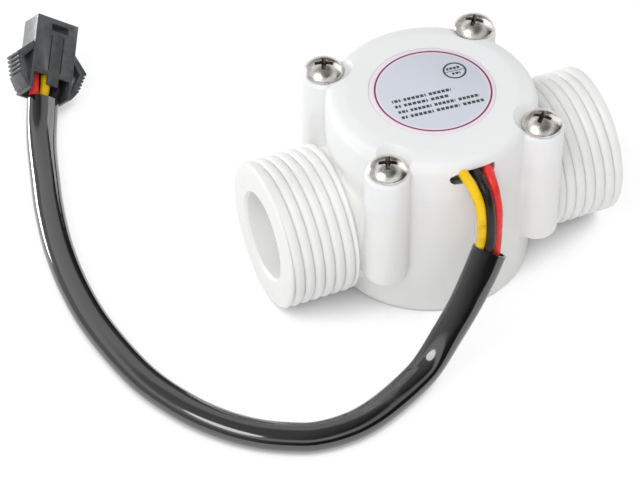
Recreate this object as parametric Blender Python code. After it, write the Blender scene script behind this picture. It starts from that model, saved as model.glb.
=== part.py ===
"""Water flow sensor: threaded nylon housing, screwed cover, paddle rotor, Hall board and three-wire lead.

Metres, +Z up. The origin is the bottom centre of the housing, the pipe runs along X, and the
lead leaves the cover on the -Y side.
"""

import math

import bmesh
import bpy
from mathutils import Matrix, Vector

# Clearances
SEAT_GAP = 0.0003
RUNNING_CLEARANCE = 0.0001
WELD_DISTANCE = 0.000001

# Housing drum and its screw bosses
BODY_RADIUS = 0.0181
BODY_HEIGHT = 0.0274
BASE_EDGE = 0.0010
BODY_WALL = 0.0046
SCREW_STANDOFF = 0.0016
SCREW_ANGLE = math.radians(43.25)
BOSS_RADIUS = 0.0039
BOSS_FLOOR = 0.0055
BOSS_EDGE = 0.0013

# Pipe through the housing, with a G 3/4 stub at each end
PIPE_LENGTH = 0.0636
THREAD_RADIUS = 0.0132
THREAD_LENGTH = 0.0130
NECK_RADIUS = 0.0119
END_CHAMFER = 0.0006
GROUND_CLEARANCE = 0.0001
BORE_RADIUS = 0.0078
BORE_END_WALL = 0.0033
BORE_LEAD_IN = 0.0004

# Flow chamber
FLOOR_THICKNESS = 0.0026
SEAL_LEDGE_WIDTH = 0.0021
SEAL_RECESS_DEPTH = 0.0040
JET_RADIUS = 0.0036
OUTLET_PORT_RADIUS = 0.0054
PORT_RIM = 0.0002

# Shaft and the two spigots that hold it
SHAFT_RADIUS = 0.0010
SPIGOT_RADIUS = 0.0026
FLOOR_SPIGOT_HEIGHT = 0.0016
PLATE_SPIGOT_HEIGHT = 0.0010
FLOOR_SOCKET_DEPTH = 0.0030
PLATE_SOCKET_DEPTH = 0.0026

# Rotor and ring magnet
VANE_COUNT = 6
ROTOR_TIP_GAP = 0.0011
VANE_THICKNESS = 0.0012
VANE_SWEEP = math.radians(24)
VANE_ROOT_RISE = 0.0008
VANE_SEAT_DEPTH = 0.0002
HUB_RADIUS = 0.0033
MAGNET_INNER_RADIUS = 0.0042
MAGNET_OUTER_RADIUS = 0.0066
MAGNET_HEIGHT = 0.0024
MAGNET_CUP_WALL = 0.0008
MAGNET_CUP_FLOOR = 0.0012

# Sealing plate over the chamber, and its O-ring
PLATE_THICKNESS = 0.0030
RING_SECTION_RADIUS = 0.00075
RING_GROOVE_FLOOR = 0.0004
POST_RADIUS = 0.0009
POST_HEIGHT = 0.0019
POST_INSET = 0.0012

# Cover
COVER_OVERHANG = 0.0002
COVER_HEIGHT = 0.0083
COVER_EDGE = 0.0025
COVER_WALL = 0.0030
COVER_ROOF = 0.0017
EAR_STEP = 0.0017
EAR_EDGE = 0.0006
HOLD_DOWN_INSET = 0.0023
HOLD_DOWN_WALL = 0.0014
SLOT_WIDTH = 0.0083
SLOT_HEIGHT = 0.0031
SLOT_CENTRE_X = -0.00065

# Label
LABEL_RADIUS = 0.0111
LABEL_THICKNESS = 0.0003

# Pan-head screws
SHANK_RADIUS = 0.0014
SHANK_LENGTH = 0.0180
SHANK_POINT = 0.0016
HEAD_RADIUS = 0.0035
HEAD_RIM = 0.0006
HEAD_HEIGHT = 0.0021
RECESS_WIDTH = 0.0009
RECESS_SPAN = 0.0036
RECESS_DEPTH = 0.0013
TIP_GAP = 0.0010

# Sensor board
BOARD_LENGTH = 0.0150
BOARD_WIDTH = 0.0100
BOARD_THICKNESS = 0.0012
BOARD_CORNER = 0.0012
HALL_SIZE = (0.0041, 0.0030, 0.0014)
HALL_CENTRE_Y = 0.0030
RESISTOR_SIZE = (0.0020, 0.00125, 0.0006)
RESISTOR_CENTRE = (-0.0040, 0.0020)
CAPACITOR_SIZE = (0.0020, 0.00125, 0.0010)
CAPACITOR_CENTRE = (0.0040, 0.0020)

# Lead: three wires that meet in a sleeve
WIRE_RADIUS = 0.0008
WIRE_PITCH = 0.0020
WIRE_DROP = 0.0068
TAIL_PITCH = 0.0020
WIRE_START_Y = -0.0030
SLEEVE_RADIUS = 0.0023
TAIL_LENGTH = 0.0009

# Connector, in its own frame: mating end along +X, width along Y, thickness along Z
CONNECTOR_LENGTH = 0.0152
CONNECTOR_WIDTH = 0.0087
CONNECTOR_THICKNESS = 0.0052
CONNECTOR_WALL = 0.0006
CONTACT_PITCH = 0.0025
CONTACT_CHANNEL = 0.0019
CONTACT_LENGTH = 0.0080
CONTACT_BORE = 0.0008
CONTACT_BORE_DEPTH = 0.0030
REAR_POCKET_DEPTH = 0.0046
REAR_CUTBACK = 0.0036
TONGUE_WIDTH = 0.0023
TONGUE_CENTRE_Y = -0.0003
TONGUE_SETBACK = 0.0018
WINDOW_LENGTH = 0.0014
WINDOW_WIDTH = 0.0035
WINDOW_DEPTH = 0.0011
WINDOW_BAR = 0.0011
WINDOW_CENTRE_Y = -0.00055
WING_REACH = 0.0031
WING_REAR_REACH = 0.0020
WING_FRONT = 0.0098
WING_PAD_START = 0.0066
WING_PAD_END = 0.0027
WING_STRIP = 0.0010
WING_THICKNESS = 0.0042
WING_RIBS = 5
WING_RIB_DEPTH = 0.00035
CONNECTOR_YAW = math.radians(61.9)
CONNECTOR_PITCH = math.radians(23.4)
CONNECTOR_ROLL = math.radians(36.8)
CONNECTOR_REAR_X = -0.0521
CONNECTOR_REAR_Y = 0.0577
FLOOR_CLEARANCE = 0.0001

# Facets
FINE_STEPS = 52
BORE_STEPS = 40
BOSS_STEPS = 24
SCREW_STEPS = 20
ARC_STEPS = 5
CORD_RESOLUTION = 2

# Heights and places that follow from the sizes above
PIPE_Z = THREAD_RADIUS + GROUND_CLEARANCE
CHAMBER_RADIUS = BODY_RADIUS - BODY_WALL
BORE_END_X = CHAMBER_RADIUS + BORE_END_WALL
SEAL_RECESS_RADIUS = CHAMBER_RADIUS + SEAL_LEDGE_WIDTH
SEAL_LEDGE_Z = BODY_HEIGHT - SEAL_RECESS_DEPTH
PLATE_BOTTOM_Z = SEAL_LEDGE_Z + SEAT_GAP
PLATE_TOP_Z = PLATE_BOTTOM_Z + PLATE_THICKNESS
PLATE_RADIUS = SEAL_RECESS_RADIUS - SEAT_GAP
FLOOR_SPIGOT_TOP_Z = FLOOR_THICKNESS + FLOOR_SPIGOT_HEIGHT
PLATE_SPIGOT_TIP_Z = PLATE_BOTTOM_Z - PLATE_SPIGOT_HEIGHT
SOCKET_RADIUS = SHAFT_RADIUS + RUNNING_CLEARANCE
FLOOR_SOCKET_Z = FLOOR_SPIGOT_TOP_Z - FLOOR_SOCKET_DEPTH
PLATE_SOCKET_Z = PLATE_SPIGOT_TIP_Z + PLATE_SOCKET_DEPTH
ROTOR_BOTTOM_Z = FLOOR_SPIGOT_TOP_Z + SEAT_GAP
ROTOR_TOP_Z = PLATE_SPIGOT_TIP_Z - SEAT_GAP
ROTOR_RADIUS = CHAMBER_RADIUS - ROTOR_TIP_GAP
MAGNET_POCKET_Z = ROTOR_TOP_Z - MAGNET_HEIGHT - SEAT_GAP
MAGNET_CUP_RADIUS = MAGNET_OUTER_RADIUS + SEAT_GAP + MAGNET_CUP_WALL
MAGNET_CUP_FLOOR_Z = MAGNET_POCKET_Z - MAGNET_CUP_FLOOR
VANE_BOTTOM_Z = ROTOR_BOTTOM_Z + VANE_ROOT_RISE
VANE_TOP_Z = MAGNET_CUP_FLOOR_Z + VANE_SEAT_DEPTH
COVER_BOTTOM_Z = BODY_HEIGHT + SEAT_GAP
COVER_TOP_Z = COVER_BOTTOM_Z + COVER_HEIGHT
COVER_RADIUS = BODY_RADIUS + COVER_OVERHANG
HOLD_DOWN_RADIUS = PLATE_RADIUS - HOLD_DOWN_INSET
POCKET_RADIUS = COVER_RADIUS - COVER_WALL
POCKET_ROOF_Z = COVER_TOP_Z - COVER_ROOF
EAR_TOP_Z = COVER_TOP_Z - EAR_STEP
LABEL_RECESS_DEPTH = LABEL_THICKNESS + SEAT_GAP
LABEL_RECESS_RADIUS = LABEL_RADIUS + SEAT_GAP
HEAD_BOTTOM_Z = EAR_TOP_Z + SEAT_GAP
PILOT_RADIUS = SHANK_RADIUS + SEAT_GAP
PILOT_BOTTOM_Z = HEAD_BOTTOM_Z - SHANK_LENGTH - TIP_GAP
BOSS_BOTTOM_Z = PILOT_BOTTOM_Z - BOSS_FLOOR
BOARD_BOTTOM_Z = PLATE_TOP_Z + POST_HEIGHT + SEAT_GAP
BOARD_TOP_Z = BOARD_BOTTOM_Z + BOARD_THICKNESS
SLOT_BOTTOM_Z = POCKET_ROOF_Z - SLOT_HEIGHT
WIRE_BOARD_Z = BOARD_TOP_Z + SEAT_GAP + WIRE_RADIUS
WIRE_SLOT_Z = POCKET_ROOF_Z - SEAT_GAP - WIRE_RADIUS
SCREW_CIRCLE = BODY_RADIUS + SCREW_STANDOFF
SCREW_PLACES = [
    (side_x * SCREW_CIRCLE * math.cos(SCREW_ANGLE), side_y * SCREW_CIRCLE * math.sin(SCREW_ANGLE))
    for side_x in (-1, 1)
    for side_y in (-1, 1)
]

# Route of the sleeve's centre line: down from below the cover, along the ground, and up to the connector
SLEEVE_FALL = [
    (-0.0002, -0.0247, 0.0202),
    (-0.0028, -0.0261, 0.0162),
    (-0.0062, -0.0275, 0.0112),
    (-0.0101, -0.0289, 0.0066),
    (-0.0132, -0.0303, 0.0040),
    (-0.0160, -0.0317, 0.0028),
]
SLEEVE_REST = [
    (-0.0207, -0.0339),
    (-0.0253, -0.0359),
    (-0.0295, -0.0371),
    (-0.0333, -0.0374),
    (-0.0368, -0.0371),
    (-0.0400, -0.0361),
    (-0.0459, -0.0328),
    (-0.0512, -0.0279),
    (-0.0558, -0.0213),
    (-0.0597, -0.0124),
    (-0.0623, 0.0002),
    (-0.0629, 0.0108),
    (-0.0622, 0.0212),
    (-0.0604, 0.0314),
    (-0.0582, 0.0400),
]
SLEEVE_RISE = [
    (-0.0563, 0.0468, 0.0025),
    (-0.0545, 0.0520, 0.0029),
]
SLEEVE_ROUTE = [*SLEEVE_FALL, *((x, y, SLEEVE_RADIUS) for x, y in SLEEVE_REST), *SLEEVE_RISE]


def clear_scene():
    for thing in list(bpy.data.objects):
        bpy.data.objects.remove(thing, do_unlink=True)


def material(name, colour, roughness, metallic=0.0):
    made = bpy.data.materials.new(name)
    made.use_nodes = True
    shader = made.node_tree.nodes["Principled BSDF"]
    shader.inputs["Base Color"].default_value = (*colour, 1.0)
    shader.inputs["Roughness"].default_value = roughness
    shader.inputs["Metallic"].default_value = metallic
    made.diffuse_color = (*colour, 1.0)
    return made


def mesh_object(name, shape, finish, smooth_angle=math.radians(35)):
    """Turns a bmesh into an object, smooth where its faces meet at less than the angle."""
    bmesh.ops.remove_doubles(shape, verts=shape.verts, dist=WELD_DISTANCE)
    bmesh.ops.recalc_face_normals(shape, faces=shape.faces)
    mesh = bpy.data.meshes.new(name)
    shape.to_mesh(mesh)
    shape.free()
    mesh.shade_smooth()
    mesh.set_sharp_from_angle(angle=smooth_angle)
    made = bpy.data.objects.new(name, mesh)
    if finish:
        mesh.materials.append(finish)
    bpy.context.scene.collection.objects.link(made)
    return made


def arc(centre, radius, start, end, steps=ARC_STEPS):
    """Points of an arc in a profile, from one angle in degrees to another."""
    found = []
    for step in range(steps + 1):
        angle = math.radians(start + (end - start) * step / steps)
        found.append((centre[0] + radius * math.cos(angle), centre[1] + radius * math.sin(angle)))
    return found


def turned(name, profile, steps, finish=None, closed=False, place=(0, 0, 0), along_x=False):
    """Spins a profile of (radius, height) about Z, or about X when along_x is set."""
    shape = bmesh.new()
    corners = [shape.verts.new((radius, 0, height)) for radius, height in profile]
    edges = [shape.edges.new(pair) for pair in zip(corners, corners[1:])]
    if closed:
        edges.append(shape.edges.new((corners[-1], corners[0])))
    bmesh.ops.spin(
        shape,
        geom=corners + edges,
        cent=(0, 0, 0),
        axis=(0, 0, 1),
        angle=math.tau,
        steps=steps,
        use_merge=True,
        use_duplicate=False,
    )
    if along_x:
        bmesh.ops.rotate(shape, cent=(0, 0, 0), matrix=Matrix.Rotation(math.pi / 2, 3, "Y"), verts=shape.verts)
    bmesh.ops.translate(shape, vec=place, verts=shape.verts)
    return mesh_object(name, shape, finish)


def block(name, low, high, finish=None):
    """A rectangular block between two corners."""
    shape = bmesh.new()
    bmesh.ops.create_cube(shape, size=1.0)
    size = Vector(high) - Vector(low)
    bmesh.ops.scale(shape, vec=size, verts=shape.verts)
    bmesh.ops.translate(shape, vec=(Vector(low) + Vector(high)) / 2, verts=shape.verts)
    return mesh_object(name, shape, finish)


def extruded(name, outline, low_z, high_z, finish=None):
    """A flat outline of (x, y) points drawn up between two heights."""
    shape = bmesh.new()
    face = shape.faces.new([shape.verts.new((x, y, low_z)) for x, y in outline])
    grown = bmesh.ops.extrude_face_region(shape, geom=[face])
    risen = [item for item in grown["geom"] if isinstance(item, bmesh.types.BMVert)]
    bmesh.ops.translate(shape, vec=(0, 0, high_z - low_z), verts=risen)
    return mesh_object(name, shape, finish)


def combine(target, tool, operation):
    """Adds a Boolean to the target and keeps its tool out of the render."""
    step = target.modifiers.new(operation.lower() + " " + tool.name, "BOOLEAN")
    step.operation = operation
    step.solver = "EXACT"
    step.object = tool
    tool.hide_render = True
    tool.display_type = "WIRE"


def cut(target, tool):
    combine(target, tool, "DIFFERENCE")


def join(target, tool):
    combine(target, tool, "UNION")


def cylinder_profile(radius, low, high):
    return [(0, high), (radius, high), (radius, low), (0, low)]


def smooth_route(points, spacing):
    """Evenly spaced points along a Catmull-Rom curve through the route's points."""
    route = [Vector(point) for point in points]
    route = [2 * route[0] - route[1], *route, 2 * route[-1] - route[-2]]
    fine = []
    for before, start, end, after in zip(route, route[1:], route[2:], route[3:]):
        for step in range(16):
            t = step / 16
            fine.append(
                0.5
                * (
                    2 * start
                    + (end - before) * t
                    + (2 * before - 5 * start + 4 * end - after) * t * t
                    + (3 * start - before - 3 * end + after) * t ** 3
                )
            )
    fine.append(route[-2])
    lengths = [0.0]
    for one, two in zip(fine, fine[1:]):
        lengths.append(lengths[-1] + (two - one).length)
    count = max(2, round(lengths[-1] / spacing))
    found = []
    index = 0
    for step in range(count + 1):
        wanted = lengths[-1] * step / count
        while index < len(fine) - 2 and lengths[index + 1] < wanted:
            index += 1
        span = lengths[index + 1] - lengths[index]
        share = (wanted - lengths[index]) / span
        found.append(fine[index].lerp(fine[index + 1], share))
    return found


def cord(name, points, radius, finish):
    """A round cord along the points, with flat closed ends."""
    curve = bpy.data.curves.new(name, "CURVE")
    curve.dimensions = "3D"
    curve.bevel_depth = radius
    curve.bevel_resolution = CORD_RESOLUTION
    curve.use_fill_caps = True
    line = curve.splines.new("POLY")
    line.points.add(len(points) - 1)
    for spot, point in zip(line.points, points):
        spot.co = (*point, 1.0)
    curve.materials.append(finish)
    made = bpy.data.objects.new(name, curve)
    bpy.context.scene.collection.objects.link(made)
    return made


def make_housing(finish):
    """Drum, four bosses and the pipe as one moulding, then its chamber, bores, ports and holes."""
    drum_profile = [(0, BODY_HEIGHT), (BODY_RADIUS, BODY_HEIGHT)]
    drum_profile += arc((BODY_RADIUS - BASE_EDGE, BASE_EDGE), BASE_EDGE, 0, -90)
    drum_profile.append((0, 0))
    housing = turned("housing", drum_profile, FINE_STEPS, finish)

    half = PIPE_LENGTH / 2
    neck_end = half - THREAD_LENGTH
    runout = THREAD_RADIUS - NECK_RADIUS
    pipe_profile = [
        (0, half),
        (THREAD_RADIUS - END_CHAMFER, half),
        (THREAD_RADIUS, half - END_CHAMFER),
        (THREAD_RADIUS, neck_end + runout),
        (NECK_RADIUS, neck_end),
        (NECK_RADIUS, -neck_end),
        (THREAD_RADIUS, -neck_end - runout),
        (THREAD_RADIUS, END_CHAMFER - half),
        (THREAD_RADIUS - END_CHAMFER, -half),
        (0, -half),
    ]
    pipe = turned("pipe body", pipe_profile, FINE_STEPS, place=(0, 0, PIPE_Z), along_x=True)
    # No part of the pipe may stand above the parting plane under the cover
    parting = cylinder_profile(COVER_RADIUS + SEAT_GAP, BODY_HEIGHT, BODY_HEIGHT + THREAD_RADIUS)
    cut(pipe, turned("parting cut", parting, FINE_STEPS))
    join(housing, pipe)

    boss_profile = [(0, BODY_HEIGHT), (BOSS_RADIUS, BODY_HEIGHT)]
    boss_profile += arc((BOSS_RADIUS - BOSS_EDGE, BOSS_BOTTOM_Z + BOSS_EDGE), BOSS_EDGE, 0, -90, 3)
    boss_profile.append((0, BOSS_BOTTOM_Z))
    pilot_profile = cylinder_profile(PILOT_RADIUS, PILOT_BOTTOM_Z, BODY_HEIGHT + SEAT_GAP)
    for number, (x, y) in enumerate(SCREW_PLACES, 1):
        join(housing, turned(f"boss body {number}", boss_profile, BOSS_STEPS, place=(x, y, 0)))
    for number, (x, y) in enumerate(SCREW_PLACES, 1):
        cut(housing, turned(f"pilot hole {number}", pilot_profile, SCREW_STEPS, place=(x, y, 0)))

    above = BODY_HEIGHT + SEAT_GAP
    chamber_profile = [
        (0, above),
        (SEAL_RECESS_RADIUS, above),
        (SEAL_RECESS_RADIUS, SEAL_LEDGE_Z),
        (CHAMBER_RADIUS, SEAL_LEDGE_Z),
        (CHAMBER_RADIUS, FLOOR_THICKNESS),
        (SPIGOT_RADIUS, FLOOR_THICKNESS),
        (SPIGOT_RADIUS, FLOOR_SPIGOT_TOP_Z),
        (SOCKET_RADIUS, FLOOR_SPIGOT_TOP_Z),
        (SOCKET_RADIUS, FLOOR_SOCKET_Z),
        (0, FLOOR_SOCKET_Z),
    ]
    cut(housing, turned("chamber cut", chamber_profile, FINE_STEPS))

    outside = half + SEAT_GAP
    for side, port_radius, word in ((-1, JET_RADIUS, "inlet"), (1, OUTLET_PORT_RADIUS, "outlet")):
        bore_profile = [
            (0, outside),
            (BORE_RADIUS + BORE_LEAD_IN + SEAT_GAP, outside),
            (BORE_RADIUS, half - BORE_LEAD_IN),
            (BORE_RADIUS, BORE_END_X),
            (0, BORE_END_X),
        ]
        if side < 0:
            bore_profile = [(radius, -place) for radius, place in reversed(bore_profile)]
        bore = turned(f"{word} bore", bore_profile, BORE_STEPS, place=(0, 0, PIPE_Z), along_x=True)
        cut(housing, bore)
        port_y = -(BORE_RADIUS - port_radius - PORT_RIM)
        inner_x = math.sqrt(CHAMBER_RADIUS ** 2 - (port_radius - port_y) ** 2) - SPIGOT_RADIUS / 2
        ends = sorted((side * inner_x, side * (BORE_END_X + SPIGOT_RADIUS / 2)))
        port_profile = cylinder_profile(port_radius, *ends)
        cut(housing, turned(f"{word} port", port_profile, BORE_STEPS, place=(0, port_y, PIPE_Z), along_x=True))
    return housing


def make_sealing_plate(finish):
    """Lid of the wet chamber: O-ring groove in its rim, shaft socket below, board posts above."""
    groove_bottom = PLATE_BOTTOM_Z + RING_GROOVE_FLOOR
    groove_top = groove_bottom + 2 * (RING_SECTION_RADIUS + SEAT_GAP)
    groove_radius = SEAL_RECESS_RADIUS - 2 * (RING_SECTION_RADIUS + SEAT_GAP)
    profile = [
        (0, PLATE_TOP_Z),
        (PLATE_RADIUS, PLATE_TOP_Z),
        (PLATE_RADIUS, groove_top),
        (groove_radius, groove_top),
        (groove_radius, groove_bottom),
        (PLATE_RADIUS, groove_bottom),
        (PLATE_RADIUS, PLATE_BOTTOM_Z),
        (SPIGOT_RADIUS, PLATE_BOTTOM_Z),
        (SPIGOT_RADIUS, PLATE_SPIGOT_TIP_Z),
        (SOCKET_RADIUS, PLATE_SPIGOT_TIP_Z),
        (SOCKET_RADIUS, PLATE_SOCKET_Z),
        (0, PLATE_SOCKET_Z),
    ]
    plate = turned("sealing_plate", profile, FINE_STEPS, finish)
    post_profile = cylinder_profile(POST_RADIUS, PLATE_TOP_Z - SEAT_GAP, PLATE_TOP_Z + POST_HEIGHT)
    for number, (side_x, side_y) in enumerate(((-1, -1), (-1, 1), (1, -1), (1, 1)), 1):
        x = side_x * (BOARD_LENGTH / 2 - POST_INSET)
        y = side_y * (BOARD_WIDTH / 2 - POST_INSET)
        join(plate, turned(f"board post {number}", post_profile, SCREW_STEPS, place=(x, y, 0)))
    return plate


def make_seal(finish):
    """O-ring in the plate's groove."""
    centre = (
        SEAL_RECESS_RADIUS - SEAT_GAP - RING_SECTION_RADIUS,
        PLATE_BOTTOM_Z + RING_GROOVE_FLOOR + SEAT_GAP + RING_SECTION_RADIUS,
    )
    section = arc(centre, RING_SECTION_RADIUS, 360, 0, 10)[:-1]
    return turned("o_ring", section, FINE_STEPS, finish, closed=True)


def vane_outline(angle):
    """One swept vane in plan: an even strip along a curve from inside the hub to the tip."""
    root = HUB_RADIUS - VANE_THICKNESS / 2
    steps = 6
    spots = []
    for step in range(steps + 1):
        share = step / steps
        radius = root + (ROTOR_RADIUS - root) * share
        turn = angle + VANE_SWEEP * share ** 2
        spots.append(Vector((radius * math.cos(turn), radius * math.sin(turn))))
    left, right = [], []
    for index, spot in enumerate(spots):
        along = spots[min(index + 1, steps)] - spots[max(index - 1, 0)]
        across = Vector((-along.y, along.x)).normalized() * VANE_THICKNESS / 2
        left.append(spot + across)
        right.append(spot - across)
    outline = [*left, *reversed(right)]
    return [tuple(point * min(1.0, ROTOR_RADIUS / point.length)) for point in outline]


def make_rotor(finish):
    """Paddle rotor: a hub with swept vanes under the cup that holds the ring magnet."""
    hub_profile = [
        (0, ROTOR_TOP_Z),
        (MAGNET_INNER_RADIUS - SEAT_GAP, ROTOR_TOP_Z),
        (MAGNET_INNER_RADIUS - SEAT_GAP, MAGNET_POCKET_Z),
        (MAGNET_OUTER_RADIUS + SEAT_GAP, MAGNET_POCKET_Z),
        (MAGNET_OUTER_RADIUS + SEAT_GAP, ROTOR_TOP_Z),
        (MAGNET_CUP_RADIUS, ROTOR_TOP_Z),
        (MAGNET_CUP_RADIUS, MAGNET_CUP_FLOOR_Z),
        (HUB_RADIUS, MAGNET_CUP_FLOOR_Z - (MAGNET_CUP_RADIUS - HUB_RADIUS) / 2),
        (HUB_RADIUS, ROTOR_BOTTOM_Z),
        (0, ROTOR_BOTTOM_Z),
    ]
    rotor = turned("rotor", hub_profile, BORE_STEPS, finish)
    for number in range(VANE_COUNT):
        outline = vane_outline(math.tau * number / VANE_COUNT)
        join(rotor, extruded(f"vane {number + 1}", outline, VANE_BOTTOM_Z, VANE_TOP_Z))
    hole = cylinder_profile(SOCKET_RADIUS, ROTOR_BOTTOM_Z - SEAT_GAP, ROTOR_TOP_Z + SEAT_GAP)
    cut(rotor, turned("rotor bore", hole, BORE_STEPS))
    return rotor


def make_magnet(finish):
    low = MAGNET_POCKET_Z + SEAT_GAP
    profile = [
        (MAGNET_INNER_RADIUS, low + MAGNET_HEIGHT),
        (MAGNET_OUTER_RADIUS, low + MAGNET_HEIGHT),
        (MAGNET_OUTER_RADIUS, low),
        (MAGNET_INNER_RADIUS, low),
    ]
    return turned("ring_magnet", profile, BORE_STEPS, finish, closed=True)


def make_shaft(finish):
    bevel = SHAFT_RADIUS / 4
    low = FLOOR_SOCKET_Z + SEAT_GAP
    high = PLATE_SOCKET_Z - SEAT_GAP
    profile = [
        (0, high),
        (SHAFT_RADIUS - bevel, high),
        (SHAFT_RADIUS, high - bevel),
        (SHAFT_RADIUS, low + bevel),
        (SHAFT_RADIUS - bevel, low),
        (0, low),
    ]
    return turned("shaft", profile, BORE_STEPS, finish)


def make_cover(finish):
    """Screwed cover: round-edged cap with a label recess, an electronics pocket, ears and wire slot."""
    recess_z = COVER_TOP_Z - LABEL_RECESS_DEPTH
    profile = [
        (0, recess_z),
        (LABEL_RECESS_RADIUS, recess_z),
        (LABEL_RECESS_RADIUS, COVER_TOP_Z),
    ]
    profile += arc((COVER_RADIUS - COVER_EDGE, COVER_TOP_Z - COVER_EDGE), COVER_EDGE, 90, 0)
    profile += [
        (COVER_RADIUS, COVER_BOTTOM_Z),
        (POCKET_RADIUS, COVER_BOTTOM_Z),
        (POCKET_RADIUS, POCKET_ROOF_Z),
        (HOLD_DOWN_RADIUS, POCKET_ROOF_Z),
        (HOLD_DOWN_RADIUS, PLATE_TOP_Z + SEAT_GAP),
        (HOLD_DOWN_RADIUS - HOLD_DOWN_WALL, PLATE_TOP_Z + SEAT_GAP),
        (HOLD_DOWN_RADIUS - HOLD_DOWN_WALL, POCKET_ROOF_Z),
        (0, POCKET_ROOF_Z),
    ]
    cover = turned("cover", profile, FINE_STEPS, finish)
    ear_profile = [(0, EAR_TOP_Z)]
    ear_profile += arc((BOSS_RADIUS - EAR_EDGE, EAR_TOP_Z - EAR_EDGE), EAR_EDGE, 90, 0, 3)
    ear_profile += [(BOSS_RADIUS, COVER_BOTTOM_Z), (0, COVER_BOTTOM_Z)]
    seat_radius = HEAD_RADIUS + SEAT_GAP
    through = [
        (0, COVER_TOP_Z + SEAT_GAP),
        (seat_radius, COVER_TOP_Z + SEAT_GAP),
        (seat_radius, EAR_TOP_Z),
        (PILOT_RADIUS, EAR_TOP_Z),
        (PILOT_RADIUS, COVER_BOTTOM_Z - SEAT_GAP),
        (0, COVER_BOTTOM_Z - SEAT_GAP),
    ]
    for number, (x, y) in enumerate(SCREW_PLACES, 1):
        join(cover, turned(f"ear body {number}", ear_profile, BOSS_STEPS, place=(x, y, 0)))
    for number, (x, y) in enumerate(SCREW_PLACES, 1):
        cut(cover, turned(f"screw seat {number}", through, BOSS_STEPS, place=(x, y, 0)))
    slot_low = (SLOT_CENTRE_X - SLOT_WIDTH / 2, -COVER_RADIUS - SEAT_GAP, SLOT_BOTTOM_Z)
    slot_high = (SLOT_CENTRE_X + SLOT_WIDTH / 2, -BOARD_WIDTH / 2, POCKET_ROOF_Z)
    cut(cover, block("wire slot", slot_low, slot_high))
    return cover


def make_label(finish):
    bottom = COVER_TOP_Z - LABEL_THICKNESS
    return turned("label", cylinder_profile(LABEL_RADIUS, bottom, COVER_TOP_Z), FINE_STEPS, finish)


def make_screws(finish):
    """Four pan-head screws with a cross recess."""
    dome_rise = HEAD_HEIGHT - HEAD_RIM
    dome_radius = (HEAD_RADIUS ** 2 + dome_rise ** 2) / (2 * dome_rise)
    dome_centre = (0, HEAD_HEIGHT - dome_radius)
    edge_angle = math.degrees(math.asin((HEAD_RIM - dome_centre[1]) / dome_radius))
    profile = arc(dome_centre, dome_radius, 90, edge_angle)
    profile[0] = (0, HEAD_HEIGHT)
    profile += [
        (HEAD_RADIUS, 0),
        (SHANK_RADIUS, 0),
        (SHANK_RADIUS, SHANK_POINT - SHANK_LENGTH),
        (0, -SHANK_LENGTH),
    ]
    for number, (x, y) in enumerate(SCREW_PLACES, 1):
        place = (x, y, HEAD_BOTTOM_Z)
        screw = turned(f"screw_{number}", profile, SCREW_STEPS, finish)
        screw.location = place
        for turn, (size_x, size_y) in enumerate(((RECESS_SPAN, RECESS_WIDTH), (RECESS_WIDTH, RECESS_SPAN))):
            low = (-size_x / 2, -size_y / 2, HEAD_HEIGHT - RECESS_DEPTH)
            high = (size_x / 2, size_y / 2, HEAD_HEIGHT + SEAT_GAP)
            tool = block(f"recess {number} {turn}", low, high)
            tool.location = place
            cut(screw, tool)


def make_board(finish, chip_finish, resistor_finish, capacitor_finish):
    """Sensor board on the plate's posts, with its Hall chip below and two small parts above."""
    x, y, corner = BOARD_LENGTH / 2, BOARD_WIDTH / 2, BOARD_CORNER
    outline = [
        (corner - x, -y),
        (x - corner, -y),
        (x, corner - y),
        (x, y - corner),
        (x - corner, y),
        (corner - x, y),
        (-x, y - corner),
        (-x, corner - y),
    ]
    extruded("circuit_board", outline, BOARD_BOTTOM_Z, BOARD_TOP_Z, finish)
    chip_top = BOARD_BOTTOM_Z - SEAT_GAP
    chips = (
        ("hall_sensor", HALL_SIZE, (0, HALL_CENTRE_Y), chip_top - HALL_SIZE[2], chip_finish),
        ("resistor", RESISTOR_SIZE, RESISTOR_CENTRE, BOARD_TOP_Z + SEAT_GAP, resistor_finish),
        ("capacitor", CAPACITOR_SIZE, CAPACITOR_CENTRE, BOARD_TOP_Z + SEAT_GAP, capacitor_finish),
    )
    for name, size, (centre_x, centre_y), bottom, look in chips:
        low = (centre_x - size[0] / 2, centre_y - size[1] / 2, bottom)
        high = (centre_x + size[0] / 2, centre_y + size[1] / 2, bottom + size[2])
        block(name, low, high, look)


def wing_outline(side):
    """Plan of one finger wing: a bowed strip that leaves the body's side and comes back to it, ribbed outside."""
    half = CONNECTOR_WIDTH / 2
    root = -WING_STRIP / 2
    outer = [(WING_FRONT, root), (WING_FRONT, 0), (WING_PAD_START, WING_REACH)]
    step = (WING_PAD_END - WING_PAD_START) / WING_RIBS
    fall = (WING_REAR_REACH - WING_REACH) / WING_RIBS
    for rib in range(WING_RIBS):
        for share, depth in ((0.5, 0), (0.6, WING_RIB_DEPTH), (0.9, WING_RIB_DEPTH), (1.0, 0)):
            place = rib + share
            outer.append((WING_PAD_START + place * step, WING_REACH + place * fall - depth))
    outer += [(WING_STRIP / 2, WING_STRIP / 2), (WING_STRIP / 2, root)]
    inner = [
        (WING_STRIP * 1.6, root),
        (WING_STRIP * 1.6, WING_STRIP / 4),
        (WING_PAD_END, WING_REAR_REACH - WING_STRIP - WING_RIB_DEPTH),
        (WING_PAD_START - WING_STRIP * 0.6, WING_REACH - WING_STRIP - WING_RIB_DEPTH),
        (WING_FRONT - WING_STRIP * 1.1, root),
    ]
    return [(x, side * (half + reach)) for x, reach in outer + inner]


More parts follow.
